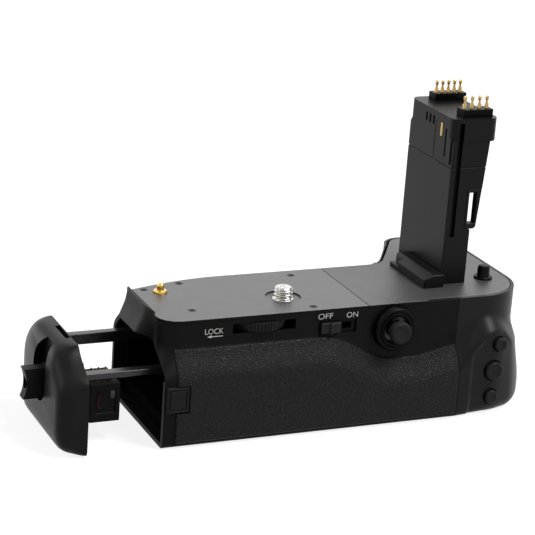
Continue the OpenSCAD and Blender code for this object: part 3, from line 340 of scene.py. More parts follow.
# ---- End housing ----------------------------------------------------------------------------
# Button end with the hand grip: one deep moulding, swelling towards the base, with bores for three
# thumb buttons, the vertical shutter button, a function button, and a slot for the dial.


def end_stations():
    """Plan stations of the end at plate height from the rear seam to the grip's side: place and
    outward angle. Quarter turn, straight end, tip arc and side arc."""
    side = math.pi - math.atan(1.0 / grip_ramp)
    side_x = 48.1 + (51.4 - 8.0 + 8.0 * math.sin(side) - 24.6) / grip_ramp - 8.0 * math.cos(side)
    a1 = np.linspace(-np.pi / 2, 0.0, 44)
    y2 = np.linspace(2.0, 37.4, 26)[1:-1]
    a3 = np.linspace(0.0, np.pi / 2, 32)
    a4 = np.linspace(np.pi / 2, side, 22)
    x = np.concatenate([71.4 + 17.0 * np.cos(a1), np.full(24, 88.4), 74.4 + 14.0 * np.cos(a3),
                        side_x + 8.0 * np.cos(a4)])
    y = np.concatenate([2.0 + 17.0 * np.sin(a1), y2, 37.4 + 14.0 * np.sin(a3), 43.4 + 8.0 * np.sin(a4)])
    return x, y, np.concatenate([a1, np.zeros(24), a3, a4])


def button_panel(x, z):
    """Depth of the flat panel round the thumb buttons: half a millimetre inside a crease that runs
    up beside them and over the top one, fading out round the corner."""
    over = np.interp(x, (62.2, 64.5, 67.1, 70.2, 72.5, 75.6, 77.4, 82.0),
                     (20.9, 22.7, 25.5, 29.2, 29.9, 29.4, 26.9, 20.0))
    return 0.5 * ease((x - 64.3) / 0.9) * ease((over - z + 0.3) / 0.9) * ease((81.0 - x) / 4.0)


def end_swell(x, a, z):
    """How far the end stands out at angle a and height z: back, side and front swells by the
    squares of sine and cosine, less the rounded base edge and the button panel."""
    back = 5.2 * ease((shoulder_top(x) - z) / shoulder_span(x))
    side = np.where(np.cos(a) > 0, 4.4 * ease((30.0 - z) / 24.0), 1.0)
    front = np.where(np.sin(a) < 0, back, 1.8 * ease((40.0 - z) / 16.0))
    swell = np.sin(a) ** 2 * front + np.cos(a) ** 2 * side - 0.8 * edge_in(z, end_edge)
    return swell - np.where(np.sin(a) < -0.3, button_panel(x, z), 0.0)


def end_wall(z, inset):
    """Points of the end's wall at heights z, set in by `inset`: lead from the seam, then the
    stations pushed out by the swell, then the straight side back to the front seam."""
    z = np.asarray(z, float)[:, None]
    inset = np.asarray(inset, float)[:, None]
    lx = np.linspace(seam_x, 71.4, 26)[None, :-1]
    t = (lx - seam_x) / 11.4
    ly = back_y(lx, z) + edge_in(z, base_edge) * (1.0 - t) + 0.8 * edge_in(z, end_edge) * t
    ly = ly + button_panel(lx, z) + inset
    sx, sy, a = end_stations()
    d = end_swell(sx, a[None], z) - inset
    px, py = sx + d * np.cos(a), sy + d * np.sin(a)
    f = np.linspace(0.0, 1.0, 12)[None, 1:]
    qy = front_y(seam_x, z) - edge_in(z, base_edge) - inset
    gx, gy = px[:, -1:] + (seam_x - px[:, -1:]) * f, py[:, -1:] + (qy - py[:, -1:]) * f
    x = np.concatenate([np.broadcast_to(lx, ly.shape), px, gx], 1)
    y = np.concatenate([ly, py, gy], 1)
    return np.stack([x, y, np.broadcast_to(z, x.shape)], -1)


def end_grid():
    """End housing from the seam over the base, up the wall, to the rim round the plate."""
    z = np.concatenate([end_edge * (1.0 - np.cos(np.radians(np.linspace(0.0, 90.0, 14)))),
                        np.linspace(end_edge, 42.05, 84)[1:]])
    wall = end_wall(np.append(z, (42.2, 42.2)), np.append(np.zeros(len(z)), (0.15, 1.1)))
    seam = wall[0].copy()
    seam[:, 0] = seam_x
    seam[:, 1] = np.linspace(wall[0, 0, 1], wall[0, -1, 1], len(seam))
    f = np.linspace(0.0, 1.0, 10)[:-1, None, None]
    return np.concatenate([seam + (wall[0] - seam) * f, wall])


# Each thumb button's body, its place in x and z, and its radius.
thumb_buttons = (("star_button", 75.0, 25.6, 2.4), ("focus_button", 73.4, 16.0, 3.3),
                 ("point_button", 73.2, 6.4, 2.4))
shutter_at, function_at = (88.4, 33.0, 20.0), (88.4, 25.0, 11.5)
end_black = moulded("end_black", (0.0085, 0.0082, 0.0087), 0.36, gloss=0.12)
end_shell = walled(shaped("end_shell", sheet(end_grid())), 1.2)
for label, bx, bz, br in thumb_buttons:
    face = float(back_y(bx, bz)) + 0.85
    cut(end_shell, rod(br + 0.6, (bx, face, bz), (0, 1, 0), -3.0, 0.55),
        rod(br + 0.25, (bx, face, bz), (0, 1, 0), -3.0, 4.0))
cut(end_shell, slab(82.4, 98.4, 12.4, 19.6, 12.4, 29.6), rod(6.45, shutter_at, (1, 0, 0), -6.0, 9.0),
    rod(2.5, function_at, (1, 0, 0), -6.0, 9.0))
fitted(end_shell, end_black, "casing", "housing", "end_housing")

# ---- Trim over the tray mouth ---------------------------------------------------------------
# Separate moulded cap at the tray end that leans out over the mouth and rises in a thin rim above
# the plate. Clipped on, with a pocket underneath for the tray's locking tongue.


def softened(node, name, finish, body, slot, edge=0.25):
    """Copy of a CAD solid with its triangles joined into flat faces and its edges rounded; normals
    are weighted by face area, so that the flats stay flat."""
    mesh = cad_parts[node].data.copy()
    bm = bmesh.new()
    bm.from_mesh(mesh)
    bmesh.ops.remove_doubles(bm, verts=bm.verts, dist=2e-6)
    bmesh.ops.dissolve_limit(bm, angle_limit=0.01, verts=bm.verts, edges=bm.edges)
    bm.to_mesh(mesh)
    bm.free()
    piece = placed(name, mesh)
    round_over = piece.modifiers.new("edge", "BEVEL")
    round_over.width = edge * 0.001
    round_over.segments = 2
    round_over.limit_method = "ANGLE"
    round_over.angle_limit = math.radians(40)
    even = piece.modifiers.new("even", "WEIGHTED_NORMAL")
    even.keep_sharp = True
    return fitted(piece, finish, body, slot, node)


trim_black = moulded("trim_black", (0.006, 0.0058, 0.0056), 0.42, gloss=0.08)
softened("left_trim", "mouth_trim", trim_black, "casing", "trim", 0.3)

# ---- Camera plate and stalk plate -----------------------------------------------------------
# Two flat covers that the camera stands on, satin black with a fine even grain. The seam between
# them runs across the deck. Screwed down; the screws are small cross-heads. The plates' narrow
# side faces are given a much darker, duller black: painted shade on the sides.
fine_grain = {"grain": 0.25, "depth": 0.012, "fleck": 0.06}
plate_satin = moulded("plate_satin", (0.03, 0.029, 0.0292), 0.42, gloss=0.95, **fine_grain)
deck_satin = moulded("deck_satin", (0.027, 0.0262, 0.0265), 0.45, gloss=0.85, **fine_grain)
# Darker, duller copy of the plates' black for their side faces: painted shade.
painted_side_shade = moulded("painted_side_shade", (0.005, 0.005, 0.0051), 0.45, gloss=0.06)
camera_deck = softened("camera_plate", "camera_deck", plate_satin, "casing", "plate", 0.3)
stalk_deck = softened("stalk_plate", "stalk_deck", deck_satin, "casing", "plate", 0.2)
# Each plate's upright side faces take the second, much darker material: painted shade on the plates' sides.
for deck in (camera_deck, stalk_deck):
    facing = np.zeros(len(deck.data.polygons) * 3)
    deck.data.polygons.foreach_get("normal", facing)
    deck.data.materials.append(painted_side_shade)
    deck.data.polygons.foreach_set("material_index", (np.abs(facing[2::3]) < 0.5).astype(np.int32))


def metal(name, colour, rough, grain=0.12):
    """Turned or plated metal: full metallic with a tool grain that changes sheen and stands as bump."""
    finish, nodes, links, shader, place = new_finish(name)
    shader.inputs["Metallic"].default_value = 1.0
    grit = noise(nodes, links, place, 1000.0 / grain, 3.0).outputs["Fac"]
    toned(nodes, links, shader, grit, ([c * 0.82 for c in colour], colour), (rough - 0.06, rough + 0.06))
    bump = raised(nodes, links, grit, 0.2, 0.01)
    links.new(bump.outputs["Normal"], shader.inputs["Normal"])
    return finish


def refinished(node, finish):
    """Gives a CAD solid that stays as it is its real finish."""
    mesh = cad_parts[node].data
    mesh.materials.clear()
    mesh.materials.append(finish)


blacked_steel = metal("blacked_steel", (0.05, 0.05, 0.052), 0.42)
softened("plate_screws", "deck_screws", blacked_steel, "casing", "screw", 0.06)

# ---- Base plate, screws and tripod socket ---------------------------------------------------
# Flat cover let into the base, four countersunk screws that hold the casing together, and the
# turned metal socket for a tripod screw.
socket_metal = metal("socket_metal", (0.55, 0.54, 0.52), 0.3)
base_black = moulded("base_black", (0.014, 0.014, 0.0145), 0.5)
softened("base_plate", "base_cover", base_black, "casing", "housing", 0.2)
softened("casing_screws", "base_screws", blacked_steel, "casing", "screw", 0.08)
softened("tripod_socket", "tripod_bush", socket_metal, "casing", "steel", 0.2)

# ---- Rubber skins and port cover ------------------------------------------------------------
# Soft leather-grained rubber glued to the back and round the hand grip, and a rubber cover with a
# frame line over the port at the tray end.


def rubber(name, colour, cell, depth, rough=0.42, gloss=0.145):
    """Leather-grained rubber: rounded cells of a Voronoi pattern with creases between them, and a
    finer wrinkle over it, as bump; painted shade darkens the creases. cell and depth are in millimetres."""
    finish, nodes, links, shader, place = new_finish(name)
    shader.inputs["Specular IOR Level"].default_value = gloss
    warp = noise(nodes, links, place, 700.0 / cell, 2.0)
    shift = nodes.new("ShaderNodeVectorMath")
    shift.operation = "MULTIPLY_ADD"
    shift.inputs[1].default_value = (0.0016 * cell, 0.0009 * cell, 0.0009 * cell)
    links.new(warp.outputs["Color"], shift.inputs[0])
    links.new(place.outputs["Object"], shift.inputs[2])
    cells = nodes.new("ShaderNodeTexVoronoi")
    cells.feature = "DISTANCE_TO_EDGE"
    cells.inputs["Scale"].default_value = 1000.0 / cell
    links.new(shift.outputs["Vector"], cells.inputs["Vector"])
    crease = nodes.new("ShaderNodeMapRange")
    crease.interpolation_type = "SMOOTHSTEP"
    crease.inputs["From Max"].default_value = 0.3
    links.new(cells.outputs["Distance"], crease.inputs["Value"])
    # Painted shade: the creases get less than half the rubber's colour, the cells their full colour.
    toned(nodes, links, shader, crease.outputs["Result"], ([c * 0.45 for c in colour], colour),
          (rough + 0.15, rough - 0.05))
    fine = raised(nodes, links, warp.outputs["Fac"], 0.5, 0.02)
    bump = raised(nodes, links, crease.outputs["Result"], 0.9, depth)
    links.new(fine.outputs["Normal"], bump.inputs["Normal"])
    links.new(bump.outputs["Normal"], shader.inputs["Normal"])
    return finish


def swelling(u, v, full, lip):
    """Thickness of a skin over its grid: full inside, a quarter round of width `lip` to its edges.
    u and v give each row's and column's place in millimetres."""
    near = np.minimum(np.minimum(u - u.min(), u.max() - u)[:, None], np.minimum(v - v.min(), v.max() - v)[None])
    return full * np.sqrt(1.0 - (1.0 - np.clip(near / lip, 0.0, 1.0)) ** 2)


def finer_ends(low, high, n, lip):
    """n places from low to high, with eight more packed into each end."""
    pack = lip * (1.0 - np.cos(np.linspace(0.0, np.pi / 2, 8)))
    return np.unique(np.concatenate([low + pack, np.linspace(low + lip, high - lip, n), high - pack]))


grip_grain = rubber("grip_grain", (0.0085, 0.0083, 0.0081), 0.85, 0.14)
skin_x = finer_ends(-44.68, 59.4, 210, 0.7)
skin_v = finer_ends(0.0, 30.0, 84, 0.7)
skin_top = shoulder_top(skin_x) - shoulder_span(skin_x) / 7.0
skin_z = base_edge + (skin_top - base_edge) * (skin_v / 30.0)[:, None]
skin_y = back_y(skin_x, skin_z)
skin_t = swelling(skin_v, skin_x, 0.8, 0.7)
skin = [np.stack([np.broadcast_to(skin_x, skin_z.shape), skin_y + d, skin_z], -1)
        for d in (-skin_t, 0.0 * skin_t)]
back_skin = shaped("back_skin", sheet(skin[0]), sheet(skin[1]))
cut(back_skin, slab(-48.7, -40.1, -30.0, -5.0, 12.3, 21.9))
fitted(back_skin, grip_grain, "casing", "rubber", "rear_rubber")

wrap_z = finer_ends(4.22, 34.6, 60, 0.7)
wrap_at = end_stations()
wrap_keep = wrap_at[2] > math.radians(20)
wx, wy, wa = (k[wrap_keep] for k in wrap_at)
wrap_len = np.concatenate([[0.0], np.cumsum(np.hypot(np.diff(wx), np.diff(wy)))])
wrap_t = swelling(wrap_z, wrap_len, 0.8, 2.0)
wrap_d = end_swell(wx, wa[None], wrap_z[:, None])
wrap = [np.stack([wx + (wrap_d + d) * np.cos(wa), wy + (wrap_d + d) * np.sin(wa),
                  np.broadcast_to(wrap_z[:, None], wrap_d.shape)], -1) for d in (wrap_t, 0.0 * wrap_t)]
fitted(shaped("grip_skin", sheet(wrap[0]), sheet(wrap[1])), grip_grain, "casing", "rubber", "grip_rubber")

cover_x = finer_ends(-48.4, -40.4, 64, 0.35)
cover_z = finer_ends(12.6, 21.6, 72, 0.35)
cover_t = swelling(cover_z, cover_x, 0.8, 0.35)
cover_in = np.minimum(np.minimum(cover_x + 48.4, -40.4 - cover_x)[None],
                      np.minimum(cover_z - 12.6, 21.6 - cover_z)[:, None])
cover_t = cover_t - 0.34 * ease(1.0 - np.abs(cover_in - 1.1) / 0.28)
cover = [np.stack([np.broadcast_to(cover_x, cover_t.shape), -20.2 - d,
                   np.broadcast_to(cover_z[:, None], cover_t.shape)], -1) for d in (cover_t, 0.0 * cover_t)]
cover_rubber = moulded("cover_rubber", (0.012, 0.012, 0.012), 0.6, grain=0.5, depth=0.02, gloss=0.1)
port_flap = shaped("port_flap", sheet(cover[0]), sheet(cover[1]), slab(-47.6, -41.2, -20.3, -19.1, 13.4, 20.8))
fitted(port_flap, cover_rubber, "port_cover", "rubber", "port_cover")

# ---- Lock wheel, gears and camera screw -----------------------------------------------------
# The knurled thumb wheel turns the camera screw through a pinion and a gear. Wheel of black
# acetal, steel axle and gear, brass bush, bright nickel-plated screw with a rolled thread.
wheel_black = moulded("wheel_black", (0.011, 0.011, 0.0112), 0.38, gloss=0.14)
axle_steel = metal("axle_steel", (0.5, 0.5, 0.5), 0.28)
bush_brass = metal("bush_brass", (0.62, 0.42, 0.14), 0.3)
nickel = metal("nickel", (0.6, 0.585, 0.56), 0.2)
softened("lock_wheel", "thumb_wheel", wheel_black, "lock_wheel", "control", 0.12)
for node, finish in (("wheel_axle", axle_steel), ("screw_gear", axle_steel), ("screw_bush", bush_brass)):
    refinished(node, finish)


def thread_grid(r, pitch, low, high):
    """Screw surface: radius less a rounded triangle wave of (height over pitch less turn), which
    fades out at the tip, where the end is chamfered."""
    z = np.linspace(low, high, int((high - low) / 0.07))[:, None]
    a = np.linspace(0.0, 2.0 * np.pi, 96, endpoint=False)[None]
    wave = np.abs(((z - low) / pitch - a / (2.0 * np.pi)) % 1.0 - 0.5) * 2.0
    cutdepth = 0.62 * ease(1.15 * wave) * ease((high - z) / 0.5)
    tip = np.maximum(0.0, z - (high - 0.6))
    radius = np.minimum(r - cutdepth, r - tip)
    return np.stack([radius * np.cos(a), radius * np.sin(a), np.broadcast_to(z, radius.shape)], -1)


thread = thread_grid(3.175, 1.27, 41.8, 45.8)
tip = np.stack([thread[-1] * (f, f, 1.0) + (0.0, 0.0, d) for f, d in ((0.45, 0.0), (0.4, -0.25), (0.0, -0.25))])
screw_body = turned([(0, 30.1), (2.0, 30.1), (2.0, 40.0), (4.6, 40.0), (4.6, 40.9), (3.7, 40.9),
                     (3.7, 41.65), (3.55, 41.8), (0, 41.8)], (0, 0, 0), (0, 0, 1))
thread_skin = sheet(np.concatenate([thread[:1] * (0, 0, 1), thread, tip]), wrap=True)
camera_bolt = shaped("camera_bolt", thread_skin, screw_body)
fitted(camera_bolt, nickel, "camera_screw", "steel", "camera_screw", sharp=50)

# Two pins locate the camera: a brass one near the tray end and a black one beside the stalk.
pin_brass = metal("pin_brass", (0.72, 0.47, 0.13), 0.22)
brass_stud = shaped("brass_stud", turned(
    [(0, 41), (1.5, 41), (1.5, 41.8), (2.3, 41.8), (2.3, 42.75), (2.15, 42.95), (1.4, 43.0), (1.25, 43.1),
     (1.25, 44.75), (1.15, 45.05), (0.85, 45.25), (0.4, 45.3), (0, 45.3)], (-39.3, 13.3, 0), (0, 0, 1)))
fitted(brass_stud, pin_brass, "casing", "brass", "brass_pin")
black_stud = shaped("black_stud", turned(
    [(0, 41), (1.5, 41), (1.5, 42.2), (3.3, 42.2), (3.3, 42.8), (3.1, 43.0), (2.3, 43.05), (2.2, 43.2),
     (2.2, 45.9), (2.05, 46.5), (1.7, 46.9), (1.0, 47.0), (0, 46.9)], (78.6, 2.6, 0), (0, 0, 1)))
stud_black = moulded("stud_black", (0.003, 0.003, 0.003), 0.35, gloss=0.08)
fitted(black_stud, stud_black, "casing", "control", "black_pin")

# ---- Power switch ---------------------------------------------------------------------------
# Sliding knob with a finger ridge in a shallow slot, over a small switch block; OFF, ON and the
# lock direction are printed on the strip in white.
softened("power_switch", "switch_knob", wheel_black, "power_switch", "control", 0.3)
slide_plate = shaped("switch_slide", slab(2.8, 20.0, -12.78, -12.42, 34.0, 37.2))
fitted(slide_plate, liner_black, "power_switch", "control")
inner_grey = moulded("inner_grey", (0.05, 0.05, 0.048), 0.55)
refinished("switch_block", inner_grey)
print_white = moulded("print_white", (0.62, 0.62, 0.6), 0.6, fleck=0.06)


def printed(name, words, x0, x1, z0, z1):
    """Flat lettering set into a box on the strip, as a thin mesh that stands just proud."""
    curve = bpy.data.curves.new(name, "FONT")
    curve.body = words
    text = placed(name, curve)
    bpy.context.view_layer.update()
    mesh = bpy.data.meshes.new_from_object(text.evaluated_get(bpy.context.evaluated_depsgraph_get()))
    bpy.data.objects.remove(text)
    flat = np.zeros(len(mesh.vertices) * 3)
    mesh.vertices.foreach_get("co", flat)
    flat = flat.reshape(-1, 3)
    low, high = flat.min(0), flat.max(0)
    part = (flat - low) / np.maximum(high - low, 1e-9)
    place = np.stack([x0 + part[:, 0] * (x1 - x0), np.full(len(part), print_y), z0 + part[:, 1] * (z1 - z0)], -1)
    mesh.vertices.foreach_set("co", (place * 0.001).ravel())
    mesh.update()
    return fitted(placed(name, mesh), print_white, "casing", "control")


printed("mark_off", "OFF", 6.5, 11.9, 38.75, 40.7)
printed("mark_on", "ON", 17.0, 21.2, 38.6, 40.5)
printed("mark_lock", "LOCK", -34.0, -27.5, 36.85, 38.75)
arrow = np.array([[-33.2, 36.0], [-31.6, 36.5], [-31.6, 36.15], [-27.6, 36.15], [-27.6, 35.85],
                  [-31.6, 35.85], [-31.6, 35.5]])
arrow_mesh = bpy.data.meshes.new("mark_arrow")
arrow_mesh.from_pydata(np.insert(arrow, 1, print_y, 1) * 0.001, [], [[0, 1, 6], [2, 5, 4, 3], [1, 2, 5, 6]])
fitted(placed("mark_arrow", arrow_mesh), print_white, "casing", "control")

# ---- Joystick -------------------------------------------------------------------------------
# Round boss set into the thumb valley, a bezel ring, and a tilting cap with a dished, finely
# dotted top on a steel stem that swings in a gimbal ring.
boss_black = moulded("boss_black", (0.0018, 0.0018, 0.0018), 0.36, gloss=0.06)
cap_black = moulded("cap_black", (0.015, 0.015, 0.0152), 0.55, grain=0.3, depth=0.05, gloss=0.1)
round_over = np.radians(np.linspace(0.0, 90.0, 12))
boss_lip = np.stack([6.5 + 1.3 * np.cos(round_over), 1.7 + 1.4 * np.sin(round_over)], -1)
boss = shaped("joystick_ring", turned(np.concatenate([
    [(5.4, -2.6), (0, -2.6), (0, -3.6), (7.8, -3.6)], boss_lip,
    [(6.3, 3.05), (6.1, 2.95), (6.0, 2.8), (6.0, 1.6), (5.4, 1.6), (5.4, -2.6)]]),
    joystick_at, joystick_out, 128))
fitted(boss, boss_black, "casing", "control", "joystick_boss")
bezel = shaped("joystick_rim", turned(
    [(4.7, 1.6), (5.95, 1.6), (5.95, 3.1), (5.8, 3.25), (5.5, 3.3), (5.0, 3.2), (4.75, 3.0), (4.7, 2.8),
     (4.7, 1.6)], joystick_at, joystick_out, 128))
fitted(bezel, boss_black, "casing", "control", "joystick_bezel")
for node in ("joystick_gimbal", "joystick_stem"):
    refinished(node, blacked_steel)
cap = shaped("joystick_top", turned(
    [(0, 5.8), (1.35, 5.8), (1.35, 4.1), (3.5, 4.1), (3.8, 4.25), (3.9, 4.6), (3.9, 5.9), (3.85, 6.3),
     (3.7, 6.65), (3.45, 6.9), (3.1, 7.05), (2.7, 7.08), (2.3, 6.98), (1.6, 6.78), (0.8, 6.68),
     (0, 6.65)], joystick_at, joystick_out, 96))
fitted(cap, cap_black, "joystick_cap", "control", "joystick_cap")

# ---- Thumb buttons --------------------------------------------------------------------------
# Three moulded push buttons in counterbored seats on the end housing, with a small switch and
# circuit board behind them.
button_black = moulded("button_black", (0.013, 0.013, 0.0136), 0.42, gloss=0.1)
for label, bx, bz, br in thumb_buttons:
    face = float(back_y(bx, bz)) + 0.35
    flange = -13.4 if bz > 21.0 else -16.7
    profile = [(0, flange + 0.9), (br + 0.8, flange + 0.9), (br + 0.8, flange), (br, flange),
               (br, face - 0.75), (br - 0.08, face - 1.0), (br - 0.3, face - 1.2), (br - 0.65, face - 1.28),
               (br * 0.55, face - 1.16), (br * 0.3, face - 1.08), (0, face - 1.05)]
    button = shaped(label + "_top", turned(profile, (bx, 0, bz), (0, 1, 0), 72))
    fitted(button, button_black, label, "control", label)
board_green = moulded("board_green", (0.02, 0.09, 0.04), 0.4, gloss=0.5)
part_grey = moulded("part_grey", (0.32, 0.32, 0.31), 0.45)
refinished("button_board", board_green)
refinished("button_switches", part_grey)

# ---- Shutter button, function button and dial -----------------------------------------------
# On the end face: the vertical shutter button in its collar, a small function button, and a
# knurled dial on a steel axle in a moulded bracket.
collar = shaped("shutter_ring", turned(
    [(4.7, -3.4), (7.2, -3.4), (7.2, -2.2), (6.4, -2.2), (6.4, 1.9), (6.2, 2.2), (5.8, 2.4), (5.2, 2.4),
     (4.85, 2.2), (4.7, 1.9), (4.7, -3.4)], shutter_at, (1, 0, 0), 96))
fitted(collar, boss_black, "casing", "control", "shutter_collar")
release = shaped("shutter_top", turned(
    [(0, -4.6), (5.4, -4.6), (5.4, -3.5), (4.4, -3.5), (4.4, 2.8), (4.3, 3.15), (4.0, 3.42), (3.6, 3.52),
     (2.6, 3.4), (1.3, 3.28), (0, 3.25)], shutter_at, (1, 0, 0), 96))
fitted(release, button_black, "shutter_button", "control", "shutter_button")
function_key = shaped("function_top", turned(
    [(0, -3.4), (3.1, -3.4), (3.1, -2.3), (2.2, -2.3), (2.2, 4.1), (2.05, 4.45), (1.6, 4.6), (0, 4.6)],
    function_at, (1, 0, 0)))
fitted(function_key, button_black, "function_button", "control", "function_button")
softened("main_dial", "finger_dial", wheel_black, "main_dial", "control", 0.15)
for node, finish in (("shutter_switch", inner_grey), ("dial_axle", axle_steel), ("dial_bracket", inner_grey)):
    refinished(node, finish)

# ---- Battery chamber and boards -------------------------------------------------------------
# Thin moulded liner that the tray slides in, with sprung contacts at its end, and the main board
# above it with its parts.
contact_gold = metal("contact_gold", (0.5, 0.35, 0.15), 0.3)
for node, finish in (("chamber_liner", liner_black), ("chamber_contacts", contact_gold),
                     ("main_board", board_green), ("board_parts", inner_grey)):
    refinished(node, finish)

# ---- Battery tray ---------------------------------------------------------------------------
# The tray drawn out of the casing: domed end cap with a finger well, turn key, rails, back plate,
# and the contact block with its sprung leaf. Moulded in black, darker inside.
tray_shift = -25.2
tray_rim = -49.3 + tray_shift
key_centre = (2.0, 18.9)


def mouth_loop(n):
    """Section of the casing at the tray mouth up to the trim: up the back and down the front."""
    z = 34.0 * np.concatenate([0.047 * (1.0 - np.cos(np.radians(np.linspace(4.0, 90.0, 10)))),
                               np.linspace(0.047, 1.0, n)[1:]])
    back = back_y(-49.0, z) + edge_in(z, base_edge)
    front = front_y(-49.0, z) - edge_in(z, base_edge)
    return np.concatenate([np.stack([back, z], -1), np.stack([front, z], -1)[::-1]])


def lidded(rows):
    """Closed skin through stacked outlines: the wrapped grid, and its first and last outline drawn
    together to their middles."""
    ends = [np.broadcast_to(row.mean(0), row.shape)[None] for row in (rows[0], rows[-1])]
    return sheet(np.concatenate([ends[0], rows, ends[1]]), wrap=True)


def cap_grid():
    """The mouth section carried outwards and shrunk about a point in its middle: the shrink
    follows a smooth curve through the dome's seven stations, and the corners soften by repeated
    averaging of neighbours the further out it gets."""
    depth = np.array([0.0, 0.3, 0.5, 0.7, 0.85, 0.95, 1.0])
    size = np.array([1.0, 0.995, 0.97, 0.91, 0.82, 0.68, 0.48])
    k = np.linspace(0.0, 6.0, 61)
    i = np.clip(k.astype(int), 0, 5)
    f = (k - i)[:, None]
    p = np.stack([depth, size], -1)
    p = np.concatenate([[2 * p[0] - p[1]], p, [p[-1] + (0.0, -0.24)]])
    a, b, c, d = p[i], p[i + 1], p[i + 2], p[i + 3]
    s = b + 0.5 * f * (c - a + f * (2 * a - 5 * b + 4 * c - d + f * (3 * (b - c) + d - a)))
    loop = mouth_loop(60)
    loop = np.concatenate([loop, loop[:1]])
    run = np.concatenate([[0.0], np.cumsum(np.linalg.norm(np.diff(loop, axis=0), axis=1))])
    even = np.linspace(0.0, run[-1], 260, endpoint=False)
    loop = np.stack([np.interp(even, run, loop[:, 0]), np.interp(even, run, loop[:, 1])], -1)
    soft = loop.copy()
    for step in range(56):
        soft = (np.roll(soft, 1, 0) + 2.0 * soft + np.roll(soft, -1, 0)) / 4.0
        if step == 3:
            loop = soft.copy()
    loops = loop + (soft - loop) * ease(s[:, 0] / 0.5)[:, None, None]
    x = tray_rim - 10.0 * s[:, :1]
    middle = np.array((-12.0, 15.0))
    yz = middle + (loops - middle) * s[:, 1, None, None]
    return np.concatenate([np.broadcast_to(x[:, :, None], yz.shape[:2] + (1,)), yz], -1)


def well_outline(rise):
    """Finger well in the cap, drawn flat: half round below, upright sides, pointed arch above."""
    low = np.radians(np.linspace(180.0, 360.0, 33))
    arch = np.radians(np.linspace(0.0, math.degrees(math.acos(6.0 / 12.4)), 20))[1:]
    right = np.stack([-6.0 + 12.4 * np.cos(arch), rise + 12.4 * np.sin(arch)], -1)
    left = right[-2::-1] * (-1, 1)
    bowl = np.stack([6.4 * np.cos(low), 6.4 * np.sin(low)], -1)
    return np.concatenate([bowl, [[6.4, rise]], right, left, [[-6.4, rise]]])


def prism_x(outline, x0, x1):
    """Closed prism along X over an outline in Y and Z."""
    rows = np.stack([np.concatenate([np.full((len(outline), 1), x), outline], 1) for x in (x0, x1)])
    return lidded(rows)


cap_shade = moulded("cap_shade", (0.007, 0.0068, 0.0067), 0.36, gloss=0.1)
turn = np.radians(np.linspace(0.0, 97.7, 40))
tongue_arc = np.stack([17.8 * np.cos(turn), 17.8 * np.sin(turn)], -1)
tongue_room = np.concatenate([tongue_arc, [[-2.385, 0.0]]]) + key_centre
tray_dome = shaped("tray_dome", lidded(cap_grid()))
cut(tray_dome, prism_x(well_outline(5.6) + key_centre, tray_rim - 15.0, tray_rim - 6.2),
    slab(-53.8 + tray_shift, -48.0 + tray_shift, -7.0, 20.0, 8.0, 27.0),
    rod(2.05, (-60.0 + tray_shift, *key_centre), (1, 0, 0), 0.0, 12.0),
    prism_x(tongue_room, -51.35 + tray_shift, -49.65 + tray_shift))
fitted(tray_dome, cap_shade, "tray", "tray", "tray_cap")
key_black = moulded("key_black", (0.01, 0.01, 0.0102), 0.45, gloss=0.09)
softened("lock_key", "turn_plate", key_black, "turn_key", "control", 0.4)
refinished("key_shaft", axle_steel)
refinished("latch_bar", inner_grey)
rail_shade = moulded("rail_shade", (0.015, 0.0148, 0.0146), 0.27, gloss=0.38)
block_black = moulded("block_black", (0.005, 0.005, 0.0052), 0.5, gloss=0.06)
softened("tray_frame", "tray_rails", rail_shade, "tray", "tray", 0.3)
softened("tray_back", "tray_wall", block_black, "tray", "tray", 0.2)
softened("tray_block", "contact_block", block_black, "tray", "tray", 0.3)
softened("tray_contacts", "leaf_spring", contact_gold, "tray", "gold", 0.08)

# In the block's side recess: a pale terminal cover, and a dark red bent strip beside it.
block_low, block_high = (np.array(c) * 1000.0 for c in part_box("tray_block"))
recess_x, recess_y = block_high[0] - 10.4 + 2.0, block_low[1] + 0.5
bow = np.radians(np.linspace(-38.0, 38.0, 25))[:, None]
edge = np.array([(4.6, -0.05), (4.6, 0.35), (3.9, 0.35), (3.9, -0.05), (4.6, -0.05)])
strip_rows = np.stack([recess_x + 5.0 - edge[:, 0] * np.cos(bow), recess_y - edge[:, 1] + 0.0 * bow,
                       14.0 + edge[:, 0] * np.sin(bow)], -1)
strip_ends = [sheet(np.stack([row[[0, 3]], row[[1, 2]]])) for row in (strip_rows[0], strip_rows[-1])]
red_oxide = moulded("red_oxide", (0.02, 0.005, 0.004), 0.45, gloss=0.1)
fitted(shaped("bent_strip", sheet(strip_rows), *strip_ends), red_oxide, "tray", "inner")
cover_bow = np.linspace(-1.0, 1.0, 15)
cover_rise = 0.42 * (1.0 - cover_bow ** 8)
terminal_x = recess_x + 4.9 + 0.9 * (cover_bow + 1.0)
cover_face = np.stack([np.stack([terminal_x, recess_y - cover_rise * f, np.full(15, z)], -1) for f, z in (
    (0.0, 15.0), (0.8, 15.1), (1.0, 15.4), (1.0, 17.4), (0.8, 17.7), (0.0, 17.8))])
cover_foot = cover_face * (1, 0, 1) + (0, recess_y, 0)
fitted(shaped("terminal_cover", sheet(cover_face), sheet(cover_foot)), inner_grey, "tray", "inner")

# ---- Stalk ----------------------------------------------------------------------------------
# The post that reaches into the camera's battery bay: moulded column with a wing, a head with two
# blocks of gold-plated sprung pins, a gold side contact, a sprung catch, and a foot.
stalk_black = moulded("stalk_black", (0.003, 0.003, 0.0034), 0.38, grain=0.3, gloss=0.12)
softened("stalk_column", "post_column", stalk_black, "casing", "stalk", 0.3)
softened("stalk_head", "post_head", stalk_black, "casing", "stalk", 0.25)
softened("stalk_latch", "post_catch", stalk_black, "casing", "stalk", 0.25)
softened("stalk_foot", "post_foot", stalk_black, "casing", "stalk", 0.35)
softened("side_contact", "side_leaf", contact_gold, "casing", "gold", 0.25)
softened("pin_block_front", "pin_bed_front", boss_black, "casing", "stalk", 0.3)
softened("pin_block_rear", "pin_bed_rear", boss_black, "casing", "stalk", 0.3)


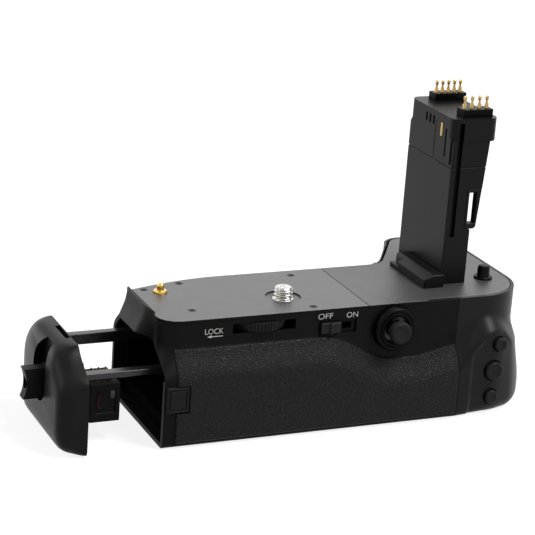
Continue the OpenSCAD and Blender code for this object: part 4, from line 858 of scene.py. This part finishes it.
def pin_row(places):
    """Sprung contact pins as turned profiles: barrel, neck groove, and rounded plunger."""
    profile = [(0, 101.6), (0.7, 101.6), (0.7, 105.45), (0.62, 105.6), (0.4, 105.62), (0.4, 106.8),
               (0.5, 106.82), (0.6, 106.95), (0.6, 107.85), (0.5, 108.15), (0.28, 108.38), (0, 108.4)]
    return [turned(profile, (x, y, 0), (0, 0, 1), 40) for x, y in places]


front_pins = shaped("pins_front", *pin_row([(66.3 + 2.35 * i, 27.0) for i in range(5)]))
rear_pins = shaped("pins_rear", *pin_row([(65.2 + 2.85 * i, 4.2) for i in range(4)]))
fitted(front_pins, contact_gold, "pins_front", "gold", "contact_pins_front")
fitted(rear_pins, contact_gold, "pins_rear", "gold", "contact_pins_rear")

# ---- Studio ---------------------------------------------------------------------------------
# Plain white floor, white surroundings, and four soft lights: one above, one from the tray side
# and two behind. The camera stands at the photograph's place.


def seen_ray(nodes, links):
    """One for camera, glossy and transmission rays, nought for the rest."""
    path = nodes.new("ShaderNodeLightPath")
    first = nodes.new("ShaderNodeMath")
    first.operation = "MAXIMUM"
    links.new(path.outputs["Is Camera Ray"], first.inputs[0])
    links.new(path.outputs["Is Glossy Ray"], first.inputs[1])
    both = nodes.new("ShaderNodeMath")
    both.operation = "MAXIMUM"
    links.new(first.outputs[0], both.inputs[0])
    links.new(path.outputs["Is Transmission Ray"], both.inputs[1])
    return both.outputs[0]


scene = bpy.context.scene
scene.view_settings.view_transform = "Standard"
world = bpy.data.worlds.new("studio")
scene.world = world
world.use_nodes = True
air = world.node_tree.nodes["Background"]
air.inputs["Color"].default_value = (1.0, 1.0, 1.0, 1.0)
level = world.node_tree.nodes.new("ShaderNodeMapRange")
level.inputs["To Min"].default_value = 0.15
level.inputs["To Max"].default_value = 1.0
world.node_tree.links.new(seen_ray(world.node_tree.nodes, world.node_tree.links), level.inputs["Value"])
world.node_tree.links.new(level.outputs["Result"], air.inputs["Strength"])

reach = 4000.0
floor = shaped("studio_floor", sheet([[(-reach, -reach, -0.3), (-reach, reach, -0.3)],
                                      [(reach, -reach, -0.3), (reach, reach, -0.3)]]))
paper = bpy.data.materials.new("studio_paper")
paper.use_nodes = True
paper_nodes, paper_links = paper.node_tree.nodes, paper.node_tree.links
paper_shader = paper_nodes["Principled BSDF"]
for setting, value in (("Base Color", (0.3, 0.3, 0.3, 1.0)), ("Roughness", 1.0), ("Specular IOR Level", 0.0),
                       ("Emission Color", (1.0, 1.0, 1.0, 1.0))):
    paper_shader.inputs[setting].default_value = value
glow = paper_nodes.new("ShaderNodeMath")
glow.operation = "MULTIPLY"
glow.inputs[1].default_value = 0.85
paper_links.new(seen_ray(paper_nodes, paper_links), glow.inputs[0])
paper_links.new(glow.outputs[0], paper_shader.inputs["Emission Strength"])
floor.data.materials.append(paper)


def softbox(name, place, aim, size, power):
    """Square area light at a place, turned to face a point."""
    lamp = bpy.data.lights.new(name, "AREA")
    lamp.size = size
    lamp.energy = power
    stand = bpy.data.objects.new(name, lamp)
    stand.location = place
    stand.rotation_euler = (Vector(aim) - Vector(place)).to_track_quat("-Z", "Y").to_euler()
    scene.collection.objects.link(stand)


softbox("light_above", (0.45, -0.35, 0.95), (0.0, 0.0, 0.03), 0.55, 13.5)
softbox("light_side", (-1.0, 0.1, 0.7), (0.0, 0.0, 0.05), 0.7, 4.2)
softbox("light_behind", (-0.55, 1.0, 0.25), (0.0, 0.0, 0.05), 0.5, 2.0)
softbox("light_far", (0.55, 1.3, 0.6), (0.0, 0.0, 0.05), 1.3, 3.0)

lens = bpy.data.cameras.new("photo_camera")
lens.lens = 134.619
lens.sensor_width = 36.0
lens.clip_end = 50.0
camera = bpy.data.objects.new("photo_camera", lens)
camera.matrix_world = Matrix(((0.9166086, 0.0684386, -0.3938844, -0.270192),
                              (-0.3942277, 0.3184485, -0.8620760, -0.577143),
                              (0.0664326, 0.9454664, 0.3188730, 0.266486), (0.0, 0.0, 0.0, 1.0)))
scene.collection.objects.link(camera)
scene.camera = camera
